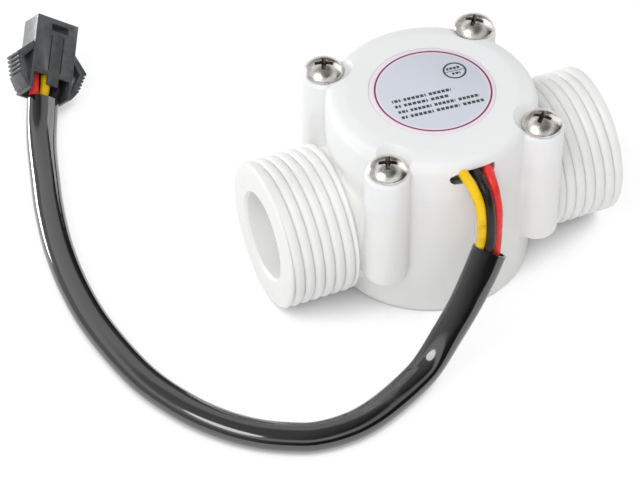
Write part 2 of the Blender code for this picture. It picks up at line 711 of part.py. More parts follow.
def connector_pose():
    """Rotation of the connector, and the place of its rear end so that its lowest corner meets the ground."""
    turn = (
        Matrix.Rotation(CONNECTOR_YAW, 4, "Z")
        @ Matrix.Rotation(-CONNECTOR_PITCH, 4, "Y")
        @ Matrix.Rotation(CONNECTOR_ROLL, 4, "X")
    )
    half = CONNECTOR_WIDTH / 2
    low = -WING_THICKNESS / 2
    corners = [Vector((x, y, low)) for x, y in wing_outline(-1)]
    corners += [Vector((x, -half, -CONNECTOR_THICKNESS / 2)) for x in (0, CONNECTOR_LENGTH)]
    lowest = min((turn @ corner).z for corner in corners)
    rear = Vector((CONNECTOR_REAR_X, CONNECTOR_REAR_Y, FLOOR_CLEARANCE - lowest))
    return Matrix.Translation(rear) @ turn


def make_connector(pose, finish, contact_finish):
    """Three-way connector housing with finger wings, and the contact in each of its channels."""
    holder = bpy.data.objects.new("connector place", None)
    holder.matrix_world = pose
    bpy.context.scene.collection.objects.link(holder)
    width, half_t = CONNECTOR_WIDTH / 2, CONNECTOR_THICKNESS / 2
    body = block("connector_housing", (0, -width, -half_t), (CONNECTOR_LENGTH, width, half_t), finish)
    body.parent = holder
    tools = []
    for side in (-1, 1):
        wing = extruded(f"wing {side}", wing_outline(side), -WING_THICKNESS / 2, WING_THICKNESS / 2)
        join(body, wing)
        tools.append(wing)
    inside = width - CONNECTOR_WALL
    pocket_t = half_t - CONNECTOR_WALL
    tongue_low = TONGUE_CENTRE_Y - TONGUE_WIDTH / 2
    tongue_high = TONGUE_CENTRE_Y + TONGUE_WIDTH / 2
    beyond = SEAT_GAP
    window_end = CONNECTOR_LENGTH - WINDOW_BAR
    cuts = [
        ("rear pocket", (-beyond, -inside, -pocket_t), (REAR_POCKET_DEPTH, inside, pocket_t)),
        ("cutback left", (-beyond, tongue_high, pocket_t - beyond), (REAR_CUTBACK, inside, half_t + beyond)),
        ("cutback right", (-beyond, -inside, pocket_t - beyond), (REAR_CUTBACK, tongue_low, half_t + beyond)),
        ("tongue end", (-beyond, tongue_low - beyond, pocket_t - beyond), (TONGUE_SETBACK, tongue_high + beyond, half_t + beyond)),
        (
            "window",
            (window_end - WINDOW_LENGTH, WINDOW_CENTRE_Y - WINDOW_WIDTH / 2, half_t - WINDOW_DEPTH),
            (window_end, WINDOW_CENTRE_Y + WINDOW_WIDTH / 2, half_t + beyond),
        ),
    ]
    channel = CONTACT_CHANNEL / 2
    for place in (-1, 0, 1):
        y = place * CONTACT_PITCH
        low = (REAR_POCKET_DEPTH - beyond, y - channel, -channel)
        cuts.append((f"channel {place}", low, (CONNECTOR_LENGTH + beyond, y + channel, channel)))
    for name, low, high in cuts:
        tool = block(name, low, high)
        cut(body, tool)
        tools.append(tool)
    contact_half = channel - SEAT_GAP
    for number, place in enumerate((1, 0, -1), 1):
        y = place * CONTACT_PITCH
        start = REAR_POCKET_DEPTH
        low = (start, y - contact_half, -contact_half)
        contact = block(f"contact_{number}", low, (start + CONTACT_LENGTH, y + contact_half, contact_half), contact_finish)
        contact.parent = holder
        hole = CONTACT_BORE / 2
        mouth = start + CONTACT_LENGTH
        tool = block(f"contact hole {number}", (mouth - CONTACT_BORE_DEPTH, y - hole, -hole), (mouth + beyond, y + hole, hole))
        cut(contact, tool)
        tools.append(tool)
    for tool in tools:
        tool.parent = holder


def wire_route(place, sleeve_start, along):
    """One wire: from the board over the hold-down ring, out of the slot, and down to the sleeve."""
    ring_y = 2 * WIRE_RADIUS - (HOLD_DOWN_RADIUS - HOLD_DOWN_WALL)
    rim_y = -COVER_RADIUS
    start_x = SLOT_CENTRE_X + place * WIRE_PITCH
    route = [
        (start_x, WIRE_START_Y, WIRE_BOARD_Z),
        (start_x, (WIRE_START_Y + ring_y) / 2, (WIRE_BOARD_Z + WIRE_SLOT_Z) / 2),
        (start_x, ring_y, WIRE_SLOT_Z),
        (start_x, rim_y, WIRE_SLOT_Z),
    ]
    across = (Vector((1, 0, 0)) - along * along.x).normalized()
    end = sleeve_start - along * SEAT_GAP + across * place * WIRE_PITCH
    bend = end - along * 2 * WIRE_RADIUS
    for angle in (25, 45, 67, 90):
        out = math.sin(math.radians(angle))
        down = 1 - math.cos(math.radians(angle))
        x = start_x + (bend.x - start_x) * out
        route.append((x, rim_y + (bend.y - rim_y) * out, WIRE_SLOT_Z - WIRE_DROP * down))
    return smooth_route([*route, bend, end], WIRE_RADIUS * 3)


def make_lead(pose, wire_finishes, sleeve_finish):
    """Sleeve along the ground, the wires above it to the board, and their tails to the contacts."""
    last = pose @ Vector((-TAIL_LENGTH, 0, 0))
    sleeve = smooth_route([*SLEEVE_ROUTE, last], SLEEVE_RADIUS * 4)
    for point in sleeve:
        point.z = max(point.z, SLEEVE_RADIUS)
    cord("cable_sleeve", sleeve, SLEEVE_RADIUS, sleeve_finish)
    falling = (sleeve[1] - sleeve[0]).normalized()
    for name, place in (("yellow", -1), ("black", 0), ("red", 1)):
        cord(f"wire_{name}", wire_route(place, sleeve[0], falling), WIRE_RADIUS, wire_finishes[name])
    along = (sleeve[-1] - sleeve[-2]).normalized()
    across = (pose.to_3x3() @ Vector((0, 1, 0))).normalized()
    across = (across - along * across.dot(along)).normalized()
    reach = REAR_POCKET_DEPTH - SEAT_GAP
    for name, place in (("red", 1), ("yellow", 0), ("black", -1)):
        start = sleeve[-1] + along * SEAT_GAP + across * place * TAIL_PITCH
        route = [start, start + along * 2 * WIRE_RADIUS]
        for share in (0.6, 1.0):
            route.append(pose @ Vector((reach * share, place * CONTACT_PITCH, 0)))
        cord(f"tail_{name}", smooth_route(route, WIRE_RADIUS * 2), WIRE_RADIUS, wire_finishes[name])


def main():
    clear_scene()
    nylon = material("white nylon", (0.86, 0.86, 0.85), 0.42)
    cover_nylon = material("cover nylon", (0.88, 0.88, 0.88), 0.40)
    rotor_nylon = material("rotor nylon", (0.80, 0.80, 0.78), 0.45)
    plate_nylon = material("plate nylon", (0.78, 0.79, 0.80), 0.45)
    rubber = material("black rubber", (0.03, 0.03, 0.03), 0.70)
    steel = material("stainless steel", (0.62, 0.62, 0.63), 0.25, 1.0)
    nickel = material("nickel plate", (0.66, 0.64, 0.61), 0.20, 1.0)
    ferrite = material("ferrite", (0.05, 0.05, 0.055), 0.55)
    film = material("silver film", (0.55, 0.54, 0.62), 0.35)
    laminate = material("green laminate", (0.02, 0.20, 0.09), 0.40)
    resin = material("black resin", (0.02, 0.02, 0.02), 0.50)
    ceramic = material("black ceramic", (0.05, 0.05, 0.06), 0.45)
    tan = material("tan ceramic", (0.45, 0.30, 0.17), 0.50)
    sleeve_vinyl = material("black vinyl", (0.012, 0.012, 0.014), 0.22)
    wire_finishes = {
        "yellow": material("yellow vinyl", (0.85, 0.55, 0.01), 0.35),
        "black": material("black wire vinyl", (0.02, 0.015, 0.012), 0.35),
        "red": material("red vinyl", (0.75, 0.02, 0.02), 0.35),
    }
    connector_nylon = material("dark grey nylon", (0.05, 0.055, 0.058), 0.45)
    brass = material("tinned brass", (0.70, 0.66, 0.55), 0.30, 1.0)

    make_housing(nylon)
    make_sealing_plate(plate_nylon)
    make_seal(rubber)
    make_rotor(rotor_nylon)
    make_magnet(ferrite)
    make_shaft(steel)
    make_cover(cover_nylon)
    make_label(film)
    make_screws(nickel)
    make_board(laminate, resin, ceramic, tan)
    pose = connector_pose()
    make_connector(pose, connector_nylon, brass)
    make_lead(pose, wire_finishes, sleeve_vinyl)


if __name__ == "__main__":
    main()
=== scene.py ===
"""Water flow sensor: finished pieces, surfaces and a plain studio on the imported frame."""

import math

import bmesh
import bpy
from bpy.props import FloatProperty, FloatVectorProperty, IntProperty, PointerProperty
from bpy.types import Operator, Panel, PropertyGroup
from mathutils import Matrix, Vector


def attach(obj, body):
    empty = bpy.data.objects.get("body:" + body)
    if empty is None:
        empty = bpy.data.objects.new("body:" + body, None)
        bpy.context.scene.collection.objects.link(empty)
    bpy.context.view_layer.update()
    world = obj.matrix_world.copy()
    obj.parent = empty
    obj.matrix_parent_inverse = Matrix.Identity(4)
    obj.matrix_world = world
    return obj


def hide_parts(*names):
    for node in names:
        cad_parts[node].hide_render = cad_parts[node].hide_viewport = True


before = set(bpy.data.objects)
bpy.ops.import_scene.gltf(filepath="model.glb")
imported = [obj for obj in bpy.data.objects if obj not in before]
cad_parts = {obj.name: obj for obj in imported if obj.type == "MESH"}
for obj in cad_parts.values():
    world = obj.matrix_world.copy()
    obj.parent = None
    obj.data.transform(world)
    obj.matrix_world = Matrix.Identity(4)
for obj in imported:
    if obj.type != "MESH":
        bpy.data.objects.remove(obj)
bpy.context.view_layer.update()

bl_info = {
    "name": "Water Flow Sensor",
    "version": (1, 0, 0),
    "blender": (4, 5, 0),
    "location": "3D View > Sidebar > Flow Sensor",
    "description": "Finished pieces of an in-line water flow sensor with a sleeved lead",
    "category": "Add Mesh",
}

# Places shared by several pieces, in metres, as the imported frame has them
PIPE_Z = 0.0133
SCREW_CIRCLE = 0.0197
SCREW_ANGLE = math.radians(43.25)
SCREW_PLACES = [
    (sx * SCREW_CIRCLE * math.cos(SCREW_ANGLE), sy * SCREW_CIRCLE * math.sin(SCREW_ANGLE))
    for sx in (-1, 1)
    for sy in (-1, 1)
]
PARTING_Z = 0.0274
SCREW_TURNS = (-23, -23, -45, -39)
PLUG_PLACE = Matrix(
    (
        (0.432273, -0.818401, 0.378629, -0.0521),
        (0.809576, 0.167295, -0.562671, 0.0577),
        (0.397148, 0.549757, 0.734875, 0.004402),
        (0.0, 0.0, 0.0, 1.0),
    )
)
SLEEVE_POINTS = [
    (-0.0002, -0.0247, 0.0202),
    (-0.0028, -0.0261, 0.0162),
    (-0.0062, -0.0275, 0.0112),
    (-0.0101, -0.0289, 0.0066),
    (-0.0132, -0.0303, 0.0038),
    (-0.0160, -0.0317, 0.0026),
    (-0.0207, -0.0339, 0.0021),
    (-0.0253, -0.0359, 0.0021),
    (-0.0295, -0.0371, 0.0021),
    (-0.0333, -0.0374, 0.0021),
    (-0.0368, -0.0371, 0.0021),
    (-0.0400, -0.0361, 0.0021),
    (-0.0459, -0.0328, 0.0021),
    (-0.0512, -0.0279, 0.0021),
    (-0.0558, -0.0213, 0.0021),
    (-0.0597, -0.0124, 0.0021),
    (-0.0623, 0.0002, 0.0021),
    (-0.0629, 0.0108, 0.0021),
    (-0.0622, 0.0212, 0.0021),
    (-0.0604, 0.0314, 0.0021),
    (-0.0582, 0.0400, 0.0021),
    (-0.0563, 0.0468, 0.0024),
    (-0.0545, 0.0520, 0.0029),
    (-0.0523, 0.0573, 0.0042),
]
WIRE_POINTS = {
    "yellow": [
        (-0.0022, -0.0040, 0.0312),
        (-0.0022, -0.0085, 0.0322),
        (-0.0022, -0.0130, 0.0328),
        (-0.0025, -0.0170, 0.0331),
        (-0.0025, -0.0187, 0.0333),
        (-0.0025, -0.0205, 0.0333),
        (-0.0023, -0.0221, 0.0326),
        (-0.0021, -0.0233, 0.0314),
        (-0.0018, -0.0239, 0.0295),
        (-0.0017, -0.0242, 0.0274),
        (-0.0016, -0.0242, 0.0249),
        (-0.0015, -0.0240, 0.0228),
    ],
    "black": [
        (-0.0001, -0.0040, 0.0312),
        (-0.0001, -0.0085, 0.0322),
        (-0.0001, -0.0130, 0.0328),
        (-0.0002, -0.0170, 0.0328),
        (-0.0002, -0.0187, 0.0329),
        (-0.0004, -0.0206, 0.0330),
        (-0.0005, -0.0223, 0.0325),
        (-0.0004, -0.0235, 0.0312),
        (-0.0004, -0.0243, 0.0295),
        (-0.0003, -0.0247, 0.0275),
        (-0.0002, -0.0248, 0.0252),
        (-0.0002, -0.0249, 0.0229),
    ],
    "red": [
        (0.0019, -0.0040, 0.0312),
        (0.0019, -0.0085, 0.0322),
        (0.0019, -0.0130, 0.0328),
        (0.0021, -0.0170, 0.0327),
        (0.0019, -0.0187, 0.0328),
        (0.0016, -0.0204, 0.0325),
        (0.0015, -0.0218, 0.0315),
        (0.0015, -0.0228, 0.0298),
        (0.0015, -0.0235, 0.0281),
        (0.0014, -0.0239, 0.0261),
        (0.0013, -0.0241, 0.0239),
        (0.0012, -0.0243, 0.0218),
    ],
}
# Each wire's place in the sleeve's mouth: to the side, and up from its middle
MOUTH_PLACES = {"yellow": (-0.0015, 0.0), "black": (-0.0001, 0.0005), "red": (0.0012, -0.00055)}
# Each pipe thread's groove: name, start along the pipe, turns, and shares of a turn to fade in and out
GROOVES = {-1: ("groove left", -0.03140, 6.6, 0.35, 0.1), 1: ("groove right", 0.01848, 6.5, 0.1, 0.35)}
NECK_RADIUS = 0.0119
NECK_HALF = 0.0188
CONTACT_PITCH = 0.0025
MERGE_DISTANCE = 0.000001


def let_go():
    """Leaves edit mode and deselects everything."""
    if bpy.context.mode != "OBJECT":
        bpy.ops.object.mode_set(mode="OBJECT")
    bpy.ops.object.select_all(action="DESELECT")


def take(*pieces):
    let_go()
    for piece in pieces:
        piece.select_set(True)
    bpy.context.view_layer.objects.active = pieces[0]


def edit(piece, mode="VERT"):
    take(piece)
    bpy.ops.object.mode_set(mode="EDIT")
    bpy.ops.mesh.select_mode(type=mode)


def put_down():
    bpy.ops.object.mode_set(mode="OBJECT")


def drawn_line(name, points):
    """A line of edges, drawn by extruding one corner from point to point."""
    let_go()
    bpy.ops.mesh.primitive_plane_add(size=0.001, location=(0, 0, 0))
    line = bpy.context.object
    line.name = line.data.name = name
    bpy.ops.object.mode_set(mode="EDIT")
    bpy.ops.mesh.select_mode(type="VERT")
    bpy.ops.mesh.select_all(action="SELECT")
    bpy.ops.mesh.merge(type="CENTER")
    bpy.ops.transform.translate(value=points[0])
    for before, after in zip(points, points[1:]):
        step = Vector(after) - Vector(before)
        bpy.ops.mesh.extrude_vertices_move(TRANSFORM_OT_translate={"value": step})
    bpy.ops.mesh.select_all(action="SELECT")
    return line


def lathed(name, outline, steps, centre=(0, 0, 0), along_x=False):
    """Spins an outline of (radius, height) about Z, or about X where along_x is set."""
    x, y, z = centre
    if along_x:
        points = [(x + height, y, z + radius) for radius, height in outline]
    else:
        points = [(x + radius, y, z + height) for radius, height in outline]
    piece = drawn_line(name, points)
    axis = (1, 0, 0) if along_x else (0, 0, 1)
    bpy.ops.mesh.spin(steps=steps, angle=math.tau, center=centre, axis=axis, use_auto_merge=True)
    bpy.ops.mesh.select_all(action="SELECT")
    bpy.ops.mesh.remove_doubles(threshold=MERGE_DISTANCE)
    bpy.ops.mesh.normals_make_consistent(inside=False)
    put_down()
    return piece


def arc(centre, radius, start, end, steps=6):
    """Points of an arc in an outline, from one angle in degrees to another."""
    turns = [math.radians(start + (end - start) * step / steps) for step in range(steps + 1)]
    return [(centre[0] + radius * math.cos(turn), centre[1] + radius * math.sin(turn)) for turn in turns]


def bar(name, low, high, rounding=0.0, segments=3):
    """A block between two corners, with its edges rounded."""
    let_go()
    low, high = Vector(low), Vector(high)
    bpy.ops.mesh.primitive_cube_add(size=1, location=(0, 0, 0))
    piece = bpy.context.object
    piece.name = piece.data.name = name
    bpy.ops.object.mode_set(mode="EDIT")
    bpy.ops.mesh.select_all(action="SELECT")
    bpy.ops.transform.resize(value=high - low)
    bpy.ops.transform.translate(value=(low + high) / 2)
    if rounding:
        bpy.ops.mesh.bevel(offset=rounding, segments=segments, affect="EDGES")
    put_down()
    return piece


def finish_modifier(piece, step):
    take(piece)
    bpy.ops.object.modifier_apply(modifier=step.name)


def combine(target, tool, operation, solver="MANIFOLD"):
    """Joins, cuts or keeps what is common, and takes the tool away."""
    step = target.modifiers.new(operation.lower(), "BOOLEAN")
    step.operation = operation
    step.solver = solver
    step.object = tool
    finish_modifier(target, step)
    bpy.data.objects.remove(tool, do_unlink=True)
    return target


def joined(*pieces):
    take(*pieces)
    bpy.ops.object.join()
    return bpy.context.object


def blended(piece, grain, strokes):
    """Melts the joined bodies into one skin and softens the hollows where they meet."""
    skin = piece.modifiers.new("skin", "REMESH")
    skin.mode = "VOXEL"
    skin.voxel_size = grain
    skin.adaptivity = 0.0
    finish_modifier(piece, skin)
    soft = piece.modifiers.new("soften", "SMOOTH")
    soft.factor = 0.5
    soft.iterations = strokes
    finish_modifier(piece, soft)
    return piece


def sliced(piece, height, keep_above):
    """Cuts the piece flat at a height and closes the cut."""
    edit(piece)
    bpy.ops.mesh.select_all(action="SELECT")
    bpy.ops.mesh.bisect(
        plane_co=(0, 0, height),
        plane_no=(0, 0, 1),
        use_fill=True,
        clear_inner=keep_above,
        clear_outer=not keep_above,
    )
    put_down()
    return piece


def rounded(piece, width, segments=3, angle=math.radians(40)):
    soft = piece.modifiers.new("round edges", "BEVEL")
    soft.width = width
    soft.segments = segments
    soft.limit_method = "ANGLE"
    soft.angle_limit = angle
    finish_modifier(piece, soft)
    return piece


def shaded(piece, angle=35):
    take(piece)
    bpy.ops.object.shade_smooth_by_angle(angle=math.radians(angle))
    return piece


def dressed(piece, finish, body, slot, *nodes):
    """Gives a piece its surface, its body and the nodes that it stands for; the slot argument is not used."""
    piece.data.materials.clear()
    piece.data.materials.append(finish)
    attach(piece, body)
    if nodes:
        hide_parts(*nodes)
    return piece


def moved_to(piece, matrix):
    """Carries the mesh to its place and leaves the object at the origin."""
    piece.matrix_world = matrix
    take(piece)
    bpy.ops.object.transform_apply(location=True, rotation=True, scale=True)
    return piece


def smooth_line(points, count):
    """Evenly spaced points along a Catmull-Rom curve through the given ones."""
    route = [Vector(point) for point in points]
    route = [2 * route[0] - route[1], *route, 2 * route[-1] - route[-2]]
    fine = []
    for before, start, end, after in zip(route, route[1:], route[2:], route[3:]):
        for step in range(24):
            t = step / 24
            bend = 2 * before - 5 * start + 4 * end - after
            twist = 3 * start - before - 3 * end + after
            fine.append(0.5 * (2 * start + (end - before) * t + bend * t * t + twist * t ** 3))
    fine.append(route[-2])
    lengths = [0.0]
    for one, two in zip(fine, fine[1:]):
        lengths.append(lengths[-1] + (two - one).length)
    found = []
    index = 0
    for step in range(count + 1):
        wanted = lengths[-1] * step / count
        while index < len(fine) - 2 and lengths[index + 1] < wanted:
            index += 1
        share = (wanted - lengths[index]) / (lengths[index + 1] - lengths[index])
        found.append(fine[index].lerp(fine[index + 1], share))
    return found


def eased(value):
    value = min(1.0, max(0.0, value))
    return value * value * (3 - 2 * value)


class Surface:
    """A material being put together: its nodes, its links and its shader."""

    def __init__(self, name, colour, roughness, metallic=0.0):
        self.made = bpy.data.materials.new(name)
        self.made.use_nodes = True
        self.tree = self.made.node_tree
        self.shader = self.tree.nodes["Principled BSDF"]
        self.set("Base Color", (*colour, 1.0))
        self.set("Roughness", roughness)
        self.set("Metallic", metallic)
        self.made.diffuse_color = (*colour, 1.0)
        self.places = self.tree.nodes.new("ShaderNodeTexCoord")

    def set(self, socket, value):
        self.shader.inputs[socket].default_value = value

    def node(self, kind, **settings):
        made = self.tree.nodes.new(kind)
        for name, value in settings.items():
            setattr(made, name, value)
        return made

    def link(self, source, target):
        self.tree.links.new(source, target)

    def noise(self, scale, detail=3.0, stretch=(1, 1, 1)):
        mapping = self.node("ShaderNodeMapping")
        mapping.inputs["Scale"].default_value = stretch
        self.link(self.places.outputs["Object"], mapping.inputs["Vector"])
        made = self.node("ShaderNodeTexNoise")
        made.inputs["Scale"].default_value = scale
        made.inputs["Detail"].default_value = detail
        self.link(mapping.outputs["Vector"], made.inputs["Vector"])
        return made.outputs["Fac"]

    def spread(self, source, low, high, start=0.3, end=0.7):
        made = self.node("ShaderNodeMapRange")
        made.inputs["From Min"].default_value = start
        made.inputs["From Max"].default_value = end
        made.inputs["To Min"].default_value = low
        made.inputs["To Max"].default_value = high
        self.link(source, made.inputs["Value"])
        return made.outputs["Result"]

    def tint(self, factor, one, two):
        made = self.node("ShaderNodeMix", data_type="RGBA")
        self.link(factor, made.inputs["Factor"])
        for socket, value in (("A", one), ("B", two)):
            target = [item for item in made.inputs if item.name == socket and item.type == "RGBA"][0]
            if isinstance(value, bpy.types.NodeSocket):
                self.link(value, target)
            else:
                target.default_value = (*value, 1.0)
        return [item for item in made.outputs if item.type == "RGBA"][0]

    def bump(self, height, distance, strength=1.0):
        made = self.node("ShaderNodeBump")
        made.inputs["Strength"].default_value = strength
        made.inputs["Distance"].default_value = distance
        self.link(height, made.inputs["Height"])
        self.link(made.outputs["Normal"], self.shader.inputs["Normal"])

    def rough(self, source):
        self.link(source, self.shader.inputs["Roughness"])

    def colour(self, source):
        self.link(source, self.shader.inputs["Base Color"])


def moulded_nylon(name, colour, roughness=0.36):
    """Satin moulded nylon: faint flow clouds in the colour and a fine, shallow grain."""
    made = Surface(name, colour, roughness)
    made.set("Subsurface Weight", 0.12)
    made.set("Subsurface Radius", (0.0010, 0.0009, 0.0008))
    made.set("Subsurface Scale", 1.0)
    cloud = made.spread(made.noise(140, 4), 0, 1)
    shade = tuple(channel * 0.985 for channel in colour)
    made.colour(made.tint(cloud, shade, colour))
    made.rough(made.spread(made.noise(900, 2), roughness - 0.05, roughness + 0.06))
    made.bump(made.noise(2600, 2), 0.00001, 0.35)
    return made.made


def insulation(name, colour, roughness=0.30):
    """Soft vinyl insulation: smooth, a little uneven along the wire, with small scuffs."""
    made = Surface(name, colour, roughness)
    made.set("Specular IOR Level", 0.4)
    cloud = made.spread(made.noise(420, 3), 0, 1, 0.28, 0.5)
    made.colour(made.tint(cloud, tuple(channel * 0.72 for channel in colour), colour))
    made.rough(made.spread(made.noise(1500, 3), roughness - 0.06, roughness + 0.12))
    made.bump(made.noise(700, 2), 0.00003, 0.4)
    return made.made


def glossy_sleeve():
    """Near-black sleeve with a clear gloss and faint waves."""
    made = Surface("sleeve vinyl", (0.004, 0.004, 0.005), 0.12)
    made.set("Coat Weight", 1.0)
    made.set("Coat Roughness", 0.05)
    made.set("Coat IOR", 1.7)
    made.set("Specular IOR Level", 0.8)
    made.rough(made.spread(made.noise(600, 3), 0.09, 0.16))
    made.colour(
        made.tint(made.spread(made.noise(420, 3), 0, 1), (0.003, 0.003, 0.0035), (0.006, 0.006, 0.007))
    )
    made.bump(made.noise(190, 2), 0.00012, 0.4)
    return made.made


def nickel_plate():
    """Bright nickel with turning marks and a few dull spots."""
    made = Surface("nickel plate", (0.74, 0.72, 0.69), 0.2, 1.0)
    made.rough(made.spread(made.noise(900, 4), 0.16, 0.34))
    made.colour(
        made.tint(made.spread(made.noise(700, 4), 0, 1, 0.35, 0.6), (0.60, 0.56, 0.51), (0.80, 0.79, 0.77))
    )
    made.bump(made.noise(1300, 4), 0.00004, 0.5)
    return made.made


def recess_shade_nickel():
    """The dull plate on the walls of a driver recess, darkened with painted shade."""
    made = Surface("nickel with painted recess shade", (0.20, 0.17, 0.14), 0.42, 1.0)
    made.rough(made.spread(made.noise(1500, 3), 0.34, 0.52))
    made.colour(
        made.tint(made.spread(made.noise(1400, 3), 0, 1, 0.4, 0.6), (0.10, 0.085, 0.07), (0.36, 0.32, 0.27))
    )
    made.bump(made.noise(1800, 3), 0.00003, 0.5)
    return made.made


def ground_steel():
    """Steel with fine grinding marks round the shaft."""
    made = Surface("ground steel", (0.62, 0.62, 0.63), 0.25, 1.0)
    made.rough(made.spread(made.noise(1200, 3, (1, 1, 40)), 0.18, 0.34))
    made.bump(made.noise(2500, 2, (1, 1, 60)), 0.00001, 0.4)
    return made.made


def plug_nylon():
    made = Surface("plug nylon", (0.040, 0.044, 0.046), 0.42)
    made.set("Specular IOR Level", 0.7)
    made.set("Coat Weight", 0.6)
    made.set("Coat Roughness", 0.16)
    cloud = made.spread(made.noise(700, 4), 0, 1)
    made.colour(made.tint(cloud, (0.030, 0.033, 0.035), (0.055, 0.060, 0.063)))
    made.rough(made.spread(made.noise(1300, 3), 0.34, 0.52))
    made.bump(made.noise(2000, 3), 0.00003, 0.5)
    return made.made


def rubber():
    made = Surface("seal rubber", (0.025, 0.025, 0.025), 0.65)
    made.rough(made.spread(made.noise(1500, 3), 0.55, 0.75))
    made.bump(made.noise(3000, 2), 0.00002, 0.5)
    return made.made


def ferrite():
    made = Surface("ferrite", (0.045, 0.045, 0.05), 0.55)
    made.colour(
        made.tint(made.spread(made.noise(2500, 4), 0, 1), (0.035, 0.035, 0.038), (0.075, 0.075, 0.08))
    )
    made.bump(made.noise(3500, 3), 0.00003, 0.6)
    return made.made


def laminate():
    """Green solder mask over the board's copper, which shows as slightly lighter tracks."""
    made = Surface("board laminate", (0.015, 0.16, 0.07), 0.34)
    waves = made.node("ShaderNodeTexWave", wave_type="BANDS", bands_direction="DIAGONAL")
    waves.inputs["Scale"].default_value = 110
    waves.inputs["Distortion"].default_value = 0.0
    made.link(made.places.outputs["Object"], waves.inputs["Vector"])
    tracks = made.spread(waves.outputs["Fac"], 0, 1, 0.72, 0.78)
    made.colour(made.tint(tracks, (0.012, 0.13, 0.055), (0.03, 0.24, 0.10)))
    made.bump(tracks, 0.00003, 0.6)
    return made.made


def ceramic(name, colour):
    """A chip part's body, with pale metal caps at both ends along X."""
    made = Surface(name, colour, 0.4)
    ends = made.node("ShaderNodeSeparateXYZ")
    made.link(made.places.outputs["Object"], ends.inputs["Vector"])
    away = made.node("ShaderNodeMath", operation="ABSOLUTE")
    made.link(ends.outputs["X"], away.inputs[0])
    off = made.node("ShaderNodeMath", operation="SUBTRACT")
    made.link(away.outputs[0], off.inputs[0])
    off.inputs[1].default_value = 0.0040
    out = made.node("ShaderNodeMath", operation="ABSOLUTE")
    made.link(off.outputs[0], out.inputs[0])
    caps = made.spread(out.outputs[0], 0, 1, 0.00062, 0.00066)
    made.colour(made.tint(caps, colour, (0.70, 0.70, 0.68)))
    made.bump(made.noise(3000, 2), 0.00002, 0.4)
    return made.made


def chip_resin():
    made = Surface("chip resin", (0.02, 0.02, 0.02), 0.5)
    made.colour(
        made.tint(made.spread(made.noise(2200, 3), 0, 1), (0.015, 0.015, 0.015), (0.035, 0.035, 0.035))
    )
    made.bump(made.noise(4000, 2), 0.00002, 0.6)
    return made.made


def tinned_brass():
    made = Surface("tinned brass", (0.70, 0.66, 0.55), 0.3, 1.0)
    made.rough(made.spread(made.noise(1200, 3), 0.22, 0.42))
    made.colour(made.tint(made.spread(made.noise(600, 3), 0, 1), (0.62, 0.56, 0.42), (0.74, 0.72, 0.66)))
    made.bump(made.noise(1800, 2), 0.00002, 0.4)
    return made.made


def label_film(colours):
    """Printed film: a pale field in a thin ring, a pink margin, a round mark and rows of broken rules."""
    made = Surface("label film", colours.label_field, 0.38)
    apart = made.node("ShaderNodeSeparateXYZ")
    made.link(made.places.outputs["Object"], apart.inputs["Vector"])

    def step(operation, one, two):
        node = made.node("ShaderNodeMath", operation=operation)
        for socket, value in zip(node.inputs, (one, two)):
            if isinstance(value, (int, float)):
                socket.default_value = value
            else:
                made.link(value, socket)
        return node.outputs[0]

    def distance(x, y):
        across = step("SUBTRACT", apart.outputs["X"], x)
        along = step("SUBTRACT", apart.outputs["Y"], y)
        return step(
            "SQRT", step("ADD", step("MULTIPLY", across, across), step("MULTIPLY", along, along)), 0
        )

    def band(value, centre, half, soft):
        off = step("ABSOLUTE", step("SUBTRACT", value, centre), 0)
        return made.spread(off, 1, 0, half - soft, half + soft)

    radius = distance(0.00015, -0.0001)
    margin = made.spread(radius, 0, 1, 0.0094, 0.0097)
    haze = made.spread(made.noise(90, 3), 0, 1)
    field = made.tint(
        haze, tuple(channel * 0.94 for channel in colours.label_field), tuple(colours.label_field)
    )
    painted = made.tint(margin, field, tuple(colours.label_margin))
    pale = tuple(0.4 * channel + 0.5 for channel in colours.label_margin)
    painted = made.tint(made.spread(radius, 0, 1, 0.0101, 0.0107), painted, pale)
    ring = band(radius, 0.0100, 0.00016, 0.00005)
    painted = made.tint(ring, painted, tuple(colours.label_ring))
    ink = band(distance(0.0057, 0.0031), 0.0019, 0.00017, 0.00005)
    turn = math.radians(-5.1)
    slant_x = step(
        "ADD",
        step("MULTIPLY", apart.outputs["X"], math.cos(turn)),
        step("MULTIPLY", apart.outputs["Y"], math.sin(turn)),
    )
    slant_y = step(
        "SUBTRACT",
        step("MULTIPLY", apart.outputs["Y"], math.cos(turn)),
        step("MULTIPLY", apart.outputs["X"], math.sin(turn)),
    )
    for centre_y, low_x, high_x, half, pace in (
        (-0.0007, -0.0075, 0.0038, 0.00034, 8100),
        (-0.00205, -0.0074, 0.0022, 0.00034, 7600),
        (-0.0035, -0.0073, 0.0076, 0.00034, 8600),
        (-0.0049, -0.0072, 0.0076, 0.00034, 7900),
        (0.00425, 0.0041, 0.0065, 0.00030, 9300),
        (0.00355, 0.0037, 0.0071, 0.00008, 0),
        (0.00290, 0.0047, 0.0062, 0.00028, 9300),
    ):
        line = band(slant_y, centre_y, half, 0.00005)
        inside = band(slant_x, (low_x + high_x) / 2, (high_x - low_x) / 2, 0.00006)
        row = step("MULTIPLY", line, inside)
        if pace:
            letters = made.spread(step("SINE", step("MULTIPLY", slant_x, pace), 0), 0, 1, -0.93, -0.55)
            words = made.spread(step("SINE", step("MULTIPLY", slant_x, pace * 0.17), 0), 0, 1, -0.96, -0.90)
            row = step("MULTIPLY", row, step("MULTIPLY", letters, words))
        ink = step("MAXIMUM", ink, row)
    painted = made.tint(ink, painted, tuple(colours.label_ink))
    made.colour(painted)
    made.rough(made.spread(made.noise(700, 3), 0.30, 0.44))
    made.bump(made.noise(420, 2), 0.00002, 0.3)
    return made.made


